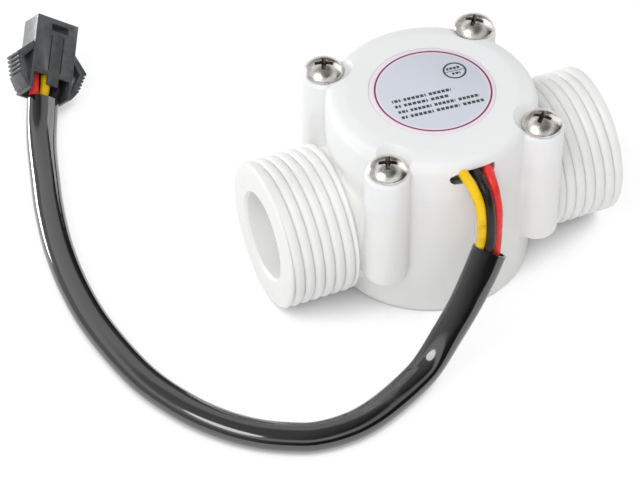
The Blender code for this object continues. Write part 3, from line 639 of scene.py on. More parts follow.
class FlowBodySettings(PropertyGroup):
    """Sizes of the housing, its cover and its screws."""

    body_radius: FloatProperty(
        name="Body Radius", description="Radius of the drum", default=0.0181, unit="LENGTH"
    )
    cover_radius: FloatProperty(
        name="Cover Radius", description="Radius of the cover", default=0.0183, unit="LENGTH"
    )
    cover_top: FloatProperty(
        name="Cover Top", description="Height of the cover's top face", default=0.0360, unit="LENGTH"
    )
    ear_top: FloatProperty(
        name="Ear Top",
        description="Height of the faces under the screw heads",
        default=0.0343,
        unit="LENGTH",
    )
    boss_radius: FloatProperty(
        name="Boss Radius", description="Radius of a screw boss", default=0.0039, unit="LENGTH"
    )
    boss_bottom: FloatProperty(
        name="Boss Bottom",
        description="Height of the lower end of a screw boss",
        default=0.0101,
        unit="LENGTH",
    )
    pipe_half: FloatProperty(
        name="Half Pipe", description="Half of the length over both stubs", default=0.0318, unit="LENGTH"
    )
    thread_radius: FloatProperty(
        name="Thread Radius", description="Radius over the thread crests", default=0.0132, unit="LENGTH"
    )
    thread_pitch: FloatProperty(
        name="Thread Pitch", description="Distance from crest to crest", default=0.00188, unit="LENGTH"
    )
    thread_depth: FloatProperty(
        name="Thread Depth", description="Depth of the thread groove", default=0.00075, unit="LENGTH"
    )
    bore_radius: FloatProperty(
        name="Bore Radius", description="Radius of the bore in each stub", default=0.0078, unit="LENGTH"
    )
    head_radius: FloatProperty(
        name="Head Radius", description="Radius of a screw head", default=0.0035, unit="LENGTH"
    )
    head_height: FloatProperty(
        name="Head Height", description="Height of a screw head", default=0.0021, unit="LENGTH"
    )
    label_radius: FloatProperty(
        name="Label Radius", description="Radius of the label", default=0.0109, unit="LENGTH"
    )
    turning_steps: IntProperty(
        name="Turning Steps", description="Facets round a turned piece", default=128, min=24, max=256
    )


class FlowLeadSettings(PropertyGroup):
    """Sizes of the lead and its plug."""

    wire_radius: FloatProperty(
        name="Wire Radius", description="Radius of one insulated wire", default=0.0009, unit="LENGTH"
    )
    sleeve_width: FloatProperty(
        name="Sleeve Width",
        description="Width of the flattened sleeve along its middle",
        default=0.0055,
        unit="LENGTH",
    )
    sleeve_height: FloatProperty(
        name="Sleeve Height",
        description="Height of the flattened sleeve along its middle",
        default=0.0042,
        unit="LENGTH",
    )
    end_width: FloatProperty(
        name="Sleeve End Width",
        description="Width of the sleeve at its ends",
        default=0.0061,
        unit="LENGTH",
    )
    end_height: FloatProperty(
        name="Sleeve End Height",
        description="Height of the sleeve at its ends",
        default=0.0037,
        unit="LENGTH",
    )
    plug_length: FloatProperty(
        name="Plug Length", description="Length of the plug's body", default=0.0152, unit="LENGTH"
    )
    plug_width: FloatProperty(
        name="Plug Width", description="Width of the plug's body", default=0.0087, unit="LENGTH"
    )
    plug_thickness: FloatProperty(
        name="Plug Thickness", description="Thickness of the plug's body", default=0.0052, unit="LENGTH"
    )


class FlowColourSettings(PropertyGroup):
    """Colours of the visible pieces."""

    nylon: FloatVectorProperty(
        name="Housing", description="Colour of the housing", subtype="COLOR", default=(0.825, 0.825, 0.815)
    )
    cover: FloatVectorProperty(
        name="Cover", description="Colour of the cover", subtype="COLOR", default=(0.835, 0.84, 0.845)
    )
    label_field: FloatVectorProperty(
        name="Label Field", description="Colour of the label", subtype="COLOR", default=(0.64, 0.67, 0.755)
    )
    label_margin: FloatVectorProperty(
        name="Label Margin",
        description="Colour outside the ring",
        subtype="COLOR",
        default=(0.84, 0.68, 0.78),
    )
    label_ring: FloatVectorProperty(
        name="Label Ring",
        description="Colour of the thin ring",
        subtype="COLOR",
        default=(0.16, 0.018, 0.09),
    )
    label_ink: FloatVectorProperty(
        name="Label Ink",
        description="Colour of the small mark and rules",
        subtype="COLOR",
        default=(0.045, 0.045, 0.055),
    )
    yellow: FloatVectorProperty(
        name="Yellow Wire",
        description="Colour of the yellow wire",
        subtype="COLOR",
        default=(0.88, 0.55, 0.0),
    )
    black: FloatVectorProperty(
        name="Black Wire",
        description="Colour of the black wire",
        subtype="COLOR",
        default=(0.012, 0.009, 0.008),
    )
    red: FloatVectorProperty(
        name="Red Wire", description="Colour of the red wire", subtype="COLOR", default=(0.78, 0.035, 0.03)
    )


def groove_cutter(name, section, radius, pitch, start, turns, fade_in, fade_out):
    """A right-handed coil about the pipe's axis that rises out of the crest at each end.

    Rings of the section are placed by a formula, because a wound modifier can't let the depth fade."""
    steps = 80
    count = round(turns * steps)
    shape = bmesh.new()
    rings = []
    for step in range(count + 1):
        turn = step / steps
        deep = min(eased(turn / fade_in), eased((turns - turn) / fade_out))
        ring = []
        for along, out in section:
            reach = radius + out * deep + 0.00008 * (1 - deep)
            angle = math.tau * turn
            place = (
                start + pitch * turn + along, -reach * math.sin(angle), PIPE_Z + reach * math.cos(angle)
            )
            ring.append(shape.verts.new(place))
        rings.append(ring)
    for one, two in zip(rings, rings[1:]):
        for index in range(len(section)):
            after = (index + 1) % len(section)
            shape.faces.new([one[index], one[after], two[after], two[index]])
    shape.faces.new(rings[0])
    shape.faces.new(rings[-1])
    bmesh.ops.recalc_face_normals(shape, faces=shape.faces)
    if shape.calc_volume(signed=True) < 0:
        bmesh.ops.reverse_faces(shape, faces=shape.faces)
    mesh = bpy.data.meshes.new(name)
    shape.to_mesh(mesh)
    shape.free()
    coil = bpy.data.objects.new(name, mesh)
    bpy.context.scene.collection.objects.link(coil)
    return coil


def threaded_stub(side, sizes):
    """One pipe stub from inside the drum to its end face, with its helical groove."""
    half, crest = sizes.pipe_half, sizes.thread_radius
    inner = 0.0150
    outline = [
        (0, inner),
        (NECK_RADIUS, inner),
        (NECK_RADIUS, 0.0184),
        (crest - 0.0004, 0.0189),
        (crest - 0.0001, 0.0191),
        (crest, 0.0194),
    ]
    outline += [(crest, half - 0.0008), *arc((crest - 0.0006, half - 0.0006), 0.0006, 0, 90, 4)[1:]]
    outline = [(radius, place) for radius, place in outline] + [(0, half)]
    if side < 0:
        outline = [(radius, -place) for radius, place in reversed(outline)]
    stub = lathed(f"stub {side}", outline, sizes.turning_steps, (0, 0, PIPE_Z), along_x=True)
    depth, half_pitch = sizes.thread_depth, sizes.thread_pitch / 2
    flank = [(half_pitch - 0.00005, 0.00006)]
    for share in (0.88, 0.70, 0.50, 0.34, 0.22, 0.13, 0.06, 0.02):
        flank.append((share * half_pitch, -depth * (1 - math.sqrt(1 - (1 - share) ** 2)) + 0.000004))
    section = [(-along, out) for along, out in flank]
    section += [(0.0, -depth)] + list(reversed(flank))
    name, start, turns, fade_in, fade_out = GROOVES[side]
    groove = groove_cutter(name, section, crest, sizes.thread_pitch, start, turns, fade_in, fade_out)
    return combine(stub, groove, "DIFFERENCE")


class FLOW_OT_housing(Operator):
    """Builds the housing: drum, bosses and threaded pipe as one moulding, with its chamber and bores."""

    bl_idname = "flow_sensor.housing"
    bl_label = "Housing"

    def execute(self, context):
        sizes = context.scene.flow_body
        drum = sizes.body_radius
        steps = sizes.turning_steps
        brim = 0.0295
        outline = [(0, brim), (drum, brim), *arc((drum - 0.0004, 0.0004), 0.0004, 0, -90), (0, 0)]
        housing = lathed("housing_shell", outline, steps)
        boss = sizes.boss_radius
        bottom = sizes.boss_bottom
        outline = [
            (0, brim), (boss, brim), *arc((boss - 0.0006, bottom + 0.0006), 0.0006, 0, -90), (0, bottom)
        ]
        bosses = [lathed(f"boss {x:.3f} {y:.3f}", outline, 48, (x, y, 0)) for x, y in SCREW_PLACES]
        neck = lathed(
            "neck",
            [(0, -NECK_HALF), (NECK_RADIUS, -NECK_HALF), (NECK_RADIUS, NECK_HALF), (0, NECK_HALF)],
            steps,
            (0, 0, PIPE_Z),
            along_x=True,
        )
        housing = joined(housing, *bosses, neck)
        blended(housing, 0.00036, 8)
        sliced(housing, PARTING_Z, keep_above=False)
        stubs = joined(threaded_stub(-1, sizes), threaded_stub(1, sizes))
        combine(housing, stubs, "UNION")

        above, ledge, ledge_z, wall, floor = 0.0290, 0.0156, 0.0234, 0.0135, 0.0026
        socket, socket_top, shaft_hole, shaft_foot = 0.0026, 0.0042, 0.0011, 0.0012
        outline = [
            (0, above), (ledge, above), (ledge, ledge_z), (wall, ledge_z), (wall, floor), (socket, floor)
        ]
        outline += [
            (socket, socket_top), (shaft_hole, socket_top), (shaft_hole, shaft_foot), (0, shaft_foot)
        ]
        chamber = lathed("chamber", outline, steps)
        combine(housing, chamber, "DIFFERENCE")
        for side, port, word in ((-1, 0.0036, "inlet"), (1, 0.0054, "outlet")):
            outside = sizes.pipe_half + 0.0005
            bore_radius = sizes.bore_radius
            mouth = sizes.pipe_half
            outline = [
                (0, outside), (bore_radius + 0.0008, outside), (bore_radius + 0.0003, mouth - 0.0001)
            ]
            outline += [(bore_radius, mouth - 0.0005), (bore_radius, 0.0168), (0, 0.0168)]
            place_y = -(bore_radius - port - 0.0002)
            port_line = [(0, 0.0110), (port, 0.0110), (port, 0.0180), (0, 0.0180)]
            if side < 0:
                outline = [(radius, -place) for radius, place in reversed(outline)]
                port_line = [(radius, -place) for radius, place in reversed(port_line)]
            bore = lathed(f"{word} bore", outline, 96, (0, 0, PIPE_Z), along_x=True)
            combine(housing, bore, "DIFFERENCE")
            way = lathed(f"{word} port", port_line, 64, (0, place_y, PIPE_Z), along_x=True)
            combine(housing, way, "DIFFERENCE")
        pilots = [
            lathed(
                f"pilot {x:.3f} {y:.3f}",
                [(0, above), (0.0016, above), (0.0016, 0.0156), (0, 0.0152)],
                32,
                (x, y, 0),
            )
            for x, y in SCREW_PLACES
        ]
        combine(housing, joined(*pilots), "DIFFERENCE")
        shaded(housing, 32)
        finish = moulded_nylon("white nylon", tuple(context.scene.flow_colours.nylon), 0.34)
        dressed(housing, finish, "sensor", "white_nylon", "housing")
        return {"FINISHED"}


class FLOW_OT_cover(Operator):
    """Builds the screwed cover: soft-edged cap, four ears, wire slot, label recess and inner pocket."""

    bl_idname = "flow_sensor.cover"
    bl_label = "Cover"

    def slot(self):
        """Cutter of the wire slot: rounded corners, and a sill that falls away inwards."""
        outline = [
            (-0.0033, 0.0316), (-0.0041, 0.0318), (-0.0046, 0.0322), (-0.0048, 0.0327), (-0.0046, 0.0331)
        ]
        outline += [(-0.0040, 0.0333), (-0.0033, 0.0335), (-0.0028, 0.0338)]
        outline += [*arc((0.0031, 0.0335), 0.0003, 90, 0, 3), *arc((0.0028, 0.0329), 0.0006, 0, -80, 4)]
        outline += [(0.0008, 0.0320), (-0.0020, 0.0316)]
        line = drawn_line("slot", [(x, -0.0190, z) for x, z in [*outline, outline[0]]])
        bpy.ops.mesh.remove_doubles(threshold=MERGE_DISTANCE)
        bpy.ops.mesh.edge_face_add()
        bpy.ops.mesh.extrude_region_move(TRANSFORM_OT_translate={"value": (0, 0.0050, 0)})
        bpy.ops.transform.resize(value=(1, 1, 2.3), center_override=(0, -0.0140, 0.0341))
        bpy.ops.mesh.extrude_region_move(TRANSFORM_OT_translate={"value": (0, 0.0090, 0)})
        bpy.ops.mesh.select_all(action="SELECT")
        bpy.ops.mesh.normals_make_consistent(inside=False)
        put_down()
        return line

    def execute(self, context):
        sizes = context.scene.flow_body
        steps = sizes.turning_steps
        radius, top = sizes.cover_radius, sizes.cover_top
        outline = [(0, top), (0.0146, top), (0.0152, top - 0.00008), (0.0156, top - 0.0002)]
        outline += arc((radius - 0.0024, top - 0.0027), 0.0024, 84, 0, 8)
        skirt = 0.0250
        outline += [(radius, skirt), (0, skirt)]
        cover = lathed("cover_shell", outline, steps)
        boss, ear = sizes.boss_radius, sizes.ear_top
        outline = [
            (0, ear), *arc((boss - 0.0006, ear - 0.0006), 0.0006, 90, 0, 4), (boss, skirt), (0, skirt)
        ]
        ears = [lathed(f"ear {x:.3f} {y:.3f}", outline, 48, (x, y, 0)) for x, y in SCREW_PLACES]
        cover = joined(cover, *ears)
        blended(cover, 0.00033, 8)
        sliced(cover, PARTING_Z + 0.00002, keep_above=True)
        ring = lathed(
            "hold-down ring",
            [(0.0116, 0.0270), (0.0130, 0.0270), (0.0130, 0.0350), (0.0116, 0.0350), (0.0116, 0.0270)],
            steps,
        )
        roof = 0.0343
        pocket = lathed("pocket", [(0, 0.0260), (0.0153, 0.0260), (0.0153, roof), (0, roof)], steps)
        combine(cover, pocket, "DIFFERENCE")
        combine(cover, ring, "UNION")
        combine(cover, self.slot(), "DIFFERENCE")
        recess = lathed("recess", [(0, 0.0370), (0.01095, 0.0370), (0.01095, 0.0357), (0, 0.0357)], steps)
        combine(cover, recess, "DIFFERENCE")
        seat = sizes.head_radius + 0.00002
        seats = [
            lathed(
                f"seat {x:.3f} {y:.3f}",
                [
                    (0, 0.0380),
                    (seat + 0.0036, 0.0380),
                    (seat, ear + 0.0002),
                    (seat, ear),
                    (0.0017, ear),
                    (0.0017, 0.0260),
                    (0, 0.0260),
                ],
                48,
                (x, y, 0),
            )
            for x, y in SCREW_PLACES
        ]
        combine(cover, joined(*seats), "DIFFERENCE")
        shaded(cover, 32)
        finish = moulded_nylon("cover nylon", tuple(context.scene.flow_colours.cover), 0.34)
        dressed(cover, finish, "sensor", "cover_nylon", "cover")
        return {"FINISHED"}


class FLOW_OT_label(Operator):
    """Builds the round label with its printed ring, mark and rules."""

    bl_idname = "flow_sensor.label"
    bl_label = "Label"

    def execute(self, context):
        sizes = context.scene.flow_body
        radius, top = sizes.label_radius, sizes.cover_top + 0.00004
        outline = [
            (0, top),
            (radius - 0.00012, top),
            (radius, top - 0.00006),
            (radius, top - 0.0003),
            (0, top - 0.0003),
        ]
        label = lathed("label_disc", outline, 128)
        shaded(label, 30)
        dressed(label, label_film(context.scene.flow_colours), "sensor", "silver_film", "label")
        return {"FINISHED"}


class FLOW_OT_screws(Operator):
    """Builds the four pan-head screws with a cross recess and a threaded shank."""

    bl_idname = "flow_sensor.screws"
    bl_label = "Screws"

    def cross(self, height):
        """The cross recess: two tapering wings and a pointed middle."""
        reach, half, depth, proud = 0.00195, 0.00048, 0.0014, 0.0006
        wings = []
        for turn in (0, 90):
            wing = bar(f"wing {turn}", (-reach, -half, height - depth), (reach, half, height + proud))
            edit(wing, "FACE")
            bpy.ops.mesh.select_all(action="DESELECT")
            put_down()
            for face in wing.data.polygons:
                face.select = face.normal.z < -0.9
            edit(wing, "FACE")
            bpy.ops.transform.resize(value=(0.55, 0.45, 1.0), center_override=(0, 0, height))
            put_down()
            moved_to(wing, Matrix.Rotation(math.radians(turn), 4, "Z"))
            wings.append(wing)
        middle = lathed(
            "middle",
            [
                (0, height + proud),
                (0.00105, height + proud),
                (0.00072, height - 0.0013),
                (0, height - 0.0016),
            ],
            4,
        )
        cut = combine(wings[0], wings[1], "UNION", "EXACT")
        return combine(cut, middle, "UNION", "EXACT")

    def execute(self, context):
        sizes = context.scene.flow_body
        radius, height = sizes.head_radius, sizes.head_height
        rim = 0.0006
        rise = height - rim
        dome = ((radius - 0.0001) ** 2 + rise ** 2) / (2 * rise)
        edge = math.degrees(math.asin((rim - (height - dome)) / dome))
        outline = [(0, height), *arc((0, height - dome), dome, 90, edge, 12)[1:]]
        outline += [
            (radius, rim - 0.00012),
            (radius, 0.00012),
            (radius - 0.00012, 0),
            (0.00115, 0),
            (0.00115, -0.0165),
            (0, -0.0180),
        ]
        first = lathed("screw", outline, 64)
        combine(first, self.cross(height), "DIFFERENCE", "EXACT")
        ridge = [(0.00105, -0.0148), (0.00138, -0.01452), (0.00138, -0.01444), (0.00105, -0.0142)]
        thread = drawn_line("thread", [(r, 0, z) for r, z in [*ridge, ridge[0]]])
        bpy.ops.mesh.remove_doubles(threshold=MERGE_DISTANCE)
        put_down()
        wind = thread.modifiers.new("wind", "SCREW")
        wind.axis = "Z"
        wind.screw_offset = 0.0012
        wind.iterations = 11
        wind.steps = wind.render_steps = 24
        finish_modifier(thread, wind)
        edit(thread)
        bpy.ops.mesh.select_all(action="SELECT")
        bpy.ops.mesh.fill_holes(sides=0)
        bpy.ops.mesh.select_all(action="SELECT")
        bpy.ops.mesh.normals_make_consistent(inside=False)
        put_down()
        combine(first, thread, "UNION", "EXACT")
        rounded(first, 0.00006, 2, math.radians(38))
        shaded(first, 40)
        # The recess walls take nickel darkened with painted shade
        finish, inside = nickel_plate(), recess_shade_nickel()
        recess = []
        for face in first.data.polygons:
            out = math.hypot(face.center.x, face.center.y)
            skin = height - dome + math.sqrt(dome ** 2 - min(out, radius) ** 2)
            if out < 0.0021 and 0.0003 < face.center.z < skin - 0.00009:
                recess.append(face.index)
        bottom = sizes.ear_top + 0.00006
        for number, ((x, y), turn) in enumerate(zip(SCREW_PLACES, SCREW_TURNS), 1):
            screw = first.copy()
            screw.data = first.data.copy()
            screw.name = screw.data.name = f"screw_{number}_turned"
            context.scene.collection.objects.link(screw)
            place = Matrix.Translation((x, y, bottom)) @ Matrix.Rotation(math.radians(turn), 4, "Z")
            moved_to(screw, place)
            dressed(screw, finish, "sensor", "nickel_plate", f"screw_{number}")
            screw.data.materials.append(inside)
            for index in recess:
                screw.data.polygons[index].material_index = 1
        bpy.data.objects.remove(first, do_unlink=True)
        return {"FINISHED"}


def wire_curve(name, points, radius, finish):
    """An insulated wire on one open line of points."""
    line = bpy.data.curves.new(name, "CURVE")
    line.dimensions = "3D"
    line.bevel_depth = radius
    line.bevel_resolution = 5
    line.use_fill_caps = True
    run = line.splines.new("POLY")
    run.points.add(len(points) - 1)
    for spot, point in zip(run.points, points):
        spot.co = (*point, 1.0)
    line.materials.append(finish)
    made = bpy.data.objects.new(name, line)
    bpy.context.scene.collection.objects.link(made)
    return made


def flat_sleeve(name, path, frames, widths, heights, wall, finish):
    """A flattened tube along the path, open at both ends with the wall's thickness showing."""
    facets = 32
    shape = bmesh.new()
    outer, inner = [], []
    for point, (side, up), width, height in zip(path, frames, widths, heights):
        for rings, less in ((outer, 0.0), (inner, wall)):
            ring = []
            for facet in range(facets):
                turn = math.tau * facet / facets
                x = math.copysign(abs(math.cos(turn)) ** 0.85, math.cos(turn)) * (width / 2 - less)
                z = math.copysign(abs(math.sin(turn)) ** 0.95, math.sin(turn)) * (height / 2 - less)
                ring.append(shape.verts.new(point + side * x + up * z))
            rings.append(ring)
    for rings, turned_in in ((outer, False), (inner, True)):
        for one, two in zip(rings, rings[1:]):
            for facet in range(facets):
                corners = [one[facet], one[(facet + 1) % facets], two[(facet + 1) % facets], two[facet]]
                shape.faces.new(corners[::-1] if turned_in else corners)
    for end in (0, -1):
        for facet in range(facets):
            corners = [
                outer[end][facet],
                outer[end][(facet + 1) % facets],
                inner[end][(facet + 1) % facets],
                inner[end][facet],
            ]
            shape.faces.new(corners)
    bmesh.ops.recalc_face_normals(shape, faces=shape.faces)
    mesh = bpy.data.meshes.new(name)
    shape.to_mesh(mesh)
    shape.free()
    mesh.materials.append(finish)
    made = bpy.data.objects.new(name, mesh)
    bpy.context.scene.collection.objects.link(made)
    return shaded(made, 50)


class FLOW_OT_lead(Operator):
    """Builds the lead: three wires out of the cover, the flattened sleeve and the tails at the plug."""

    bl_idname = "flow_sensor.lead"
    bl_label = "Lead"

    def execute(self, context):
        sizes = context.scene.flow_lead
        colours = context.scene.flow_colours
        finishes = {
            "yellow": insulation("yellow insulation", tuple(colours.yellow)),
            "black": insulation("black insulation", tuple(colours.black)),
            "red": insulation("red insulation", tuple(colours.red)),
        }
        count = 150
        path = smooth_line(SLEEVE_POINTS, count)
        plug_side = PLUG_PLACE.to_3x3() @ Vector((0, 1, 0))
        frames, widths, heights = [], [], []
        for index, point in enumerate(path):
            along = (path[min(index + 1, count)] - path[max(index - 1, 0)]).normalized()
            level = Vector((0, 0, 1)).cross(along).normalized()
            level = -level if level.dot(plug_side) < 0 and index > count // 2 else level
            share = index / count
            start_side = (Vector((-1, 0, 0)) + along * along.x).normalized()
            early = 1 - eased(share / 0.22)
            late = eased((share - 0.86) / 0.14)
            side = level
            if early > 0:
                other = start_side if start_side.dot(level) > 0 else -start_side
                side = level.lerp(other, 0.5 * early)
            if late > 0:
                other = plug_side if plug_side.dot(level) > 0 else -plug_side
                side = level.lerp(other, 0.8 * late)
            side = (side - along * side.dot(along)).normalized()
            frames.append((side, along.cross(side)))
            ends = max(1 - eased(share / 0.10), eased((share - 0.90) / 0.10))
            widths.append(sizes.sleeve_width + (sizes.end_width - sizes.sleeve_width) * ends)
            heights.append(sizes.sleeve_height + (sizes.end_height - sizes.sleeve_height) * ends)
        for word, points in WIRE_POINTS.items():
            sideways, lifted = MOUTH_PLACES[word]
            inside = [
                path[index] + frames[index][0] * sideways + frames[index][1] * lifted for index in (1, 4, 7)
            ]
            wire = wire_curve(
                f"wire_{word}_run", smooth_line([*points, *inside], 72), sizes.wire_radius, finishes[word]
            )
            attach(wire, "sensor")
            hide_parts(f"wire_{word}")
        sleeve = flat_sleeve("sleeve_run", path, frames, widths, heights, 0.0004, glossy_sleeve())
        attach(sleeve, "sensor")
        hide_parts("cable_sleeve")

        for word, place in (("red", 1), ("yellow", 0), ("black", -1)):
            start = path[-6] + plug_side * place * 0.0016
            middle = path[-1] + plug_side * place * 0.0019
            end = PLUG_PLACE @ Vector((0.0043, place * CONTACT_PITCH, 0.0))
            close = PLUG_PLACE @ Vector((0.0020, place * 0.0024, 0.0003))
            tail = wire_curve(
                f"tail_{word}_run",
                smooth_line([start, middle, close, end], 16),
                sizes.wire_radius,
                finishes[word],
            )
            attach(tail, "sensor")
            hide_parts(f"tail_{word}")
        return {"FINISHED"}


def wing_line(side, half):
    """Plan of one finger wing: a bowed strip with a ribbed pad that slopes towards the rear."""
    reach, rear_reach, front, pad_start, pad_end = 0.0031, 0.0020, 0.0098, 0.0066, 0.0027
    strip, ribs, depth = 0.0010, 5, 0.00045
    outer = [(front, -strip / 2), (front, 0), (pad_start, reach)]
    step = (pad_end - pad_start) / ribs
    fall = (rear_reach - reach) / ribs
    for rib in range(ribs):
        for share, deep in ((0.45, 0), (0.55, depth), (0.9, depth), (1.0, 0)):
            place = rib + share
            outer.append((pad_start + place * step, reach + place * fall - deep))
    outer += [(strip / 2, strip / 2), (strip / 2, -strip / 2)]
    inner = [
        (strip * 1.6, -strip / 2),
        (strip * 1.6, strip / 4),
        (pad_end, rear_reach - strip - depth),
        (pad_start - strip * 0.6, reach - strip - depth),
        (front - strip * 1.1, -strip / 2),
    ]
    return [(x, side * (half + out)) for x, out in outer + inner]


class FLOW_OT_plug(Operator):
    """Builds the three-way plug: body with window and latch tongue, and a ribbed finger wing at each side."""

    bl_idname = "flow_sensor.plug"
    bl_label = "Plug"

    def execute(self, context):
        sizes = context.scene.flow_lead
        length, half, thick = sizes.plug_length, sizes.plug_width / 2, sizes.plug_thickness / 2
        body = bar("plug_body", (0, -half, -thick), (length, half, thick), 0.00018, 3)
        for side in (-1, 1):
            line = wing_line(side, half)
            wing = drawn_line(f"wing {side}", [(x, y, -0.0021) for x, y in [*line, line[0]]])
            bpy.ops.mesh.remove_doubles(threshold=MERGE_DISTANCE)
            bpy.ops.mesh.edge_face_add()
            bpy.ops.mesh.extrude_region_move(TRANSFORM_OT_translate={"value": (0, 0, 0.0042)})
            bpy.ops.mesh.select_all(action="SELECT")
            bpy.ops.mesh.normals_make_consistent(inside=False)
            put_down()
            combine(body, wing, "UNION", "EXACT")
        wall = 0.0006
        inside, pocket = half - wall, thick - wall
        cuts = [
            ((-0.001, -inside, -pocket), (0.0046, inside, pocket)),
            ((-0.001, 0.00085, pocket - 0.0003), (0.0036, inside, thick + 0.001)),
            ((-0.001, -inside, pocket - 0.0003), (0.0036, -0.00145, thick + 0.001)),
            ((-0.001, -0.0018, pocket - 0.0003), (0.0018, 0.0012, thick + 0.001)),
            ((0.0127, -0.0023, thick - 0.0016), (0.0141, 0.0012, thick + 0.001)),
            ((0.0046, -0.00165, thick - 0.00035), (0.0118, -0.00145, thick + 0.001)),
            ((0.0046, 0.00085, thick - 0.00035), (0.0118, 0.00105, thick + 0.001)),
            ((0.0148, -inside, -pocket), (length + 0.001, inside, pocket)),
        ]
        ahead, way = length + 0.001, 0.00095
        cuts += [
            ((0.0040, y - way, -way), (ahead, y + way, way)) for y in (-CONTACT_PITCH, 0, CONTACT_PITCH)
        ]
        for number, (low, high) in enumerate(cuts):
            combine(body, bar(f"cut {number}", low, high), "DIFFERENCE", "EXACT")
        rounded(body, 0.00010, 2, math.radians(50))
        moved_to(body, PLUG_PLACE)
        shaded(body, 35)
        dressed(body, plug_nylon(), "sensor", "plug_nylon", "connector_housing")
        return {"FINISHED"}


class FLOW_OT_inner_parts(Operator):
    """Gives the rotor, magnet, shaft, plate, seal, board and contacts their own surfaces."""

    bl_idname = "flow_sensor.inner_parts"
    bl_label = "Inner Parts"

    def execute(self, context):
        brass = tinned_brass()
        finishes = {
            "rotor": moulded_nylon("rotor nylon", (0.76, 0.76, 0.73), 0.42),
            "ring_magnet": ferrite(),
            "shaft": ground_steel(),
            "sealing_plate": moulded_nylon("plate nylon", (0.74, 0.75, 0.76), 0.42),
            "o_ring": rubber(),
            "circuit_board": laminate(),
            "hall_sensor": chip_resin(),
            "resistor": ceramic("resistor ceramic", (0.045, 0.045, 0.055)),
            "capacitor": ceramic("capacitor ceramic", (0.42, 0.27, 0.15)),
            "contact_1": brass,
            "contact_2": brass,
            "contact_3": brass,
        }
        for name, finish in finishes.items():
            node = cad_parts[name]
            for place in node.material_slots:
                place.material = finish
        return {"FINISHED"}


def soft_lamp(name, place, aim, size, watts):
    """An oval area lamp at a place, turned to what it aims at."""
    lamp = bpy.data.lights.new(name, "AREA")
    lamp.shape = "ELLIPSE"
    lamp.size, lamp.size_y = size
    lamp.energy = watts
    made = bpy.data.objects.new(name, lamp)
    made.location = place
    made.rotation_euler = (Vector(aim) - Vector(place)).to_track_quat("-Z", "Y").to_euler()
    bpy.context.scene.collection.objects.link(made)
    return made


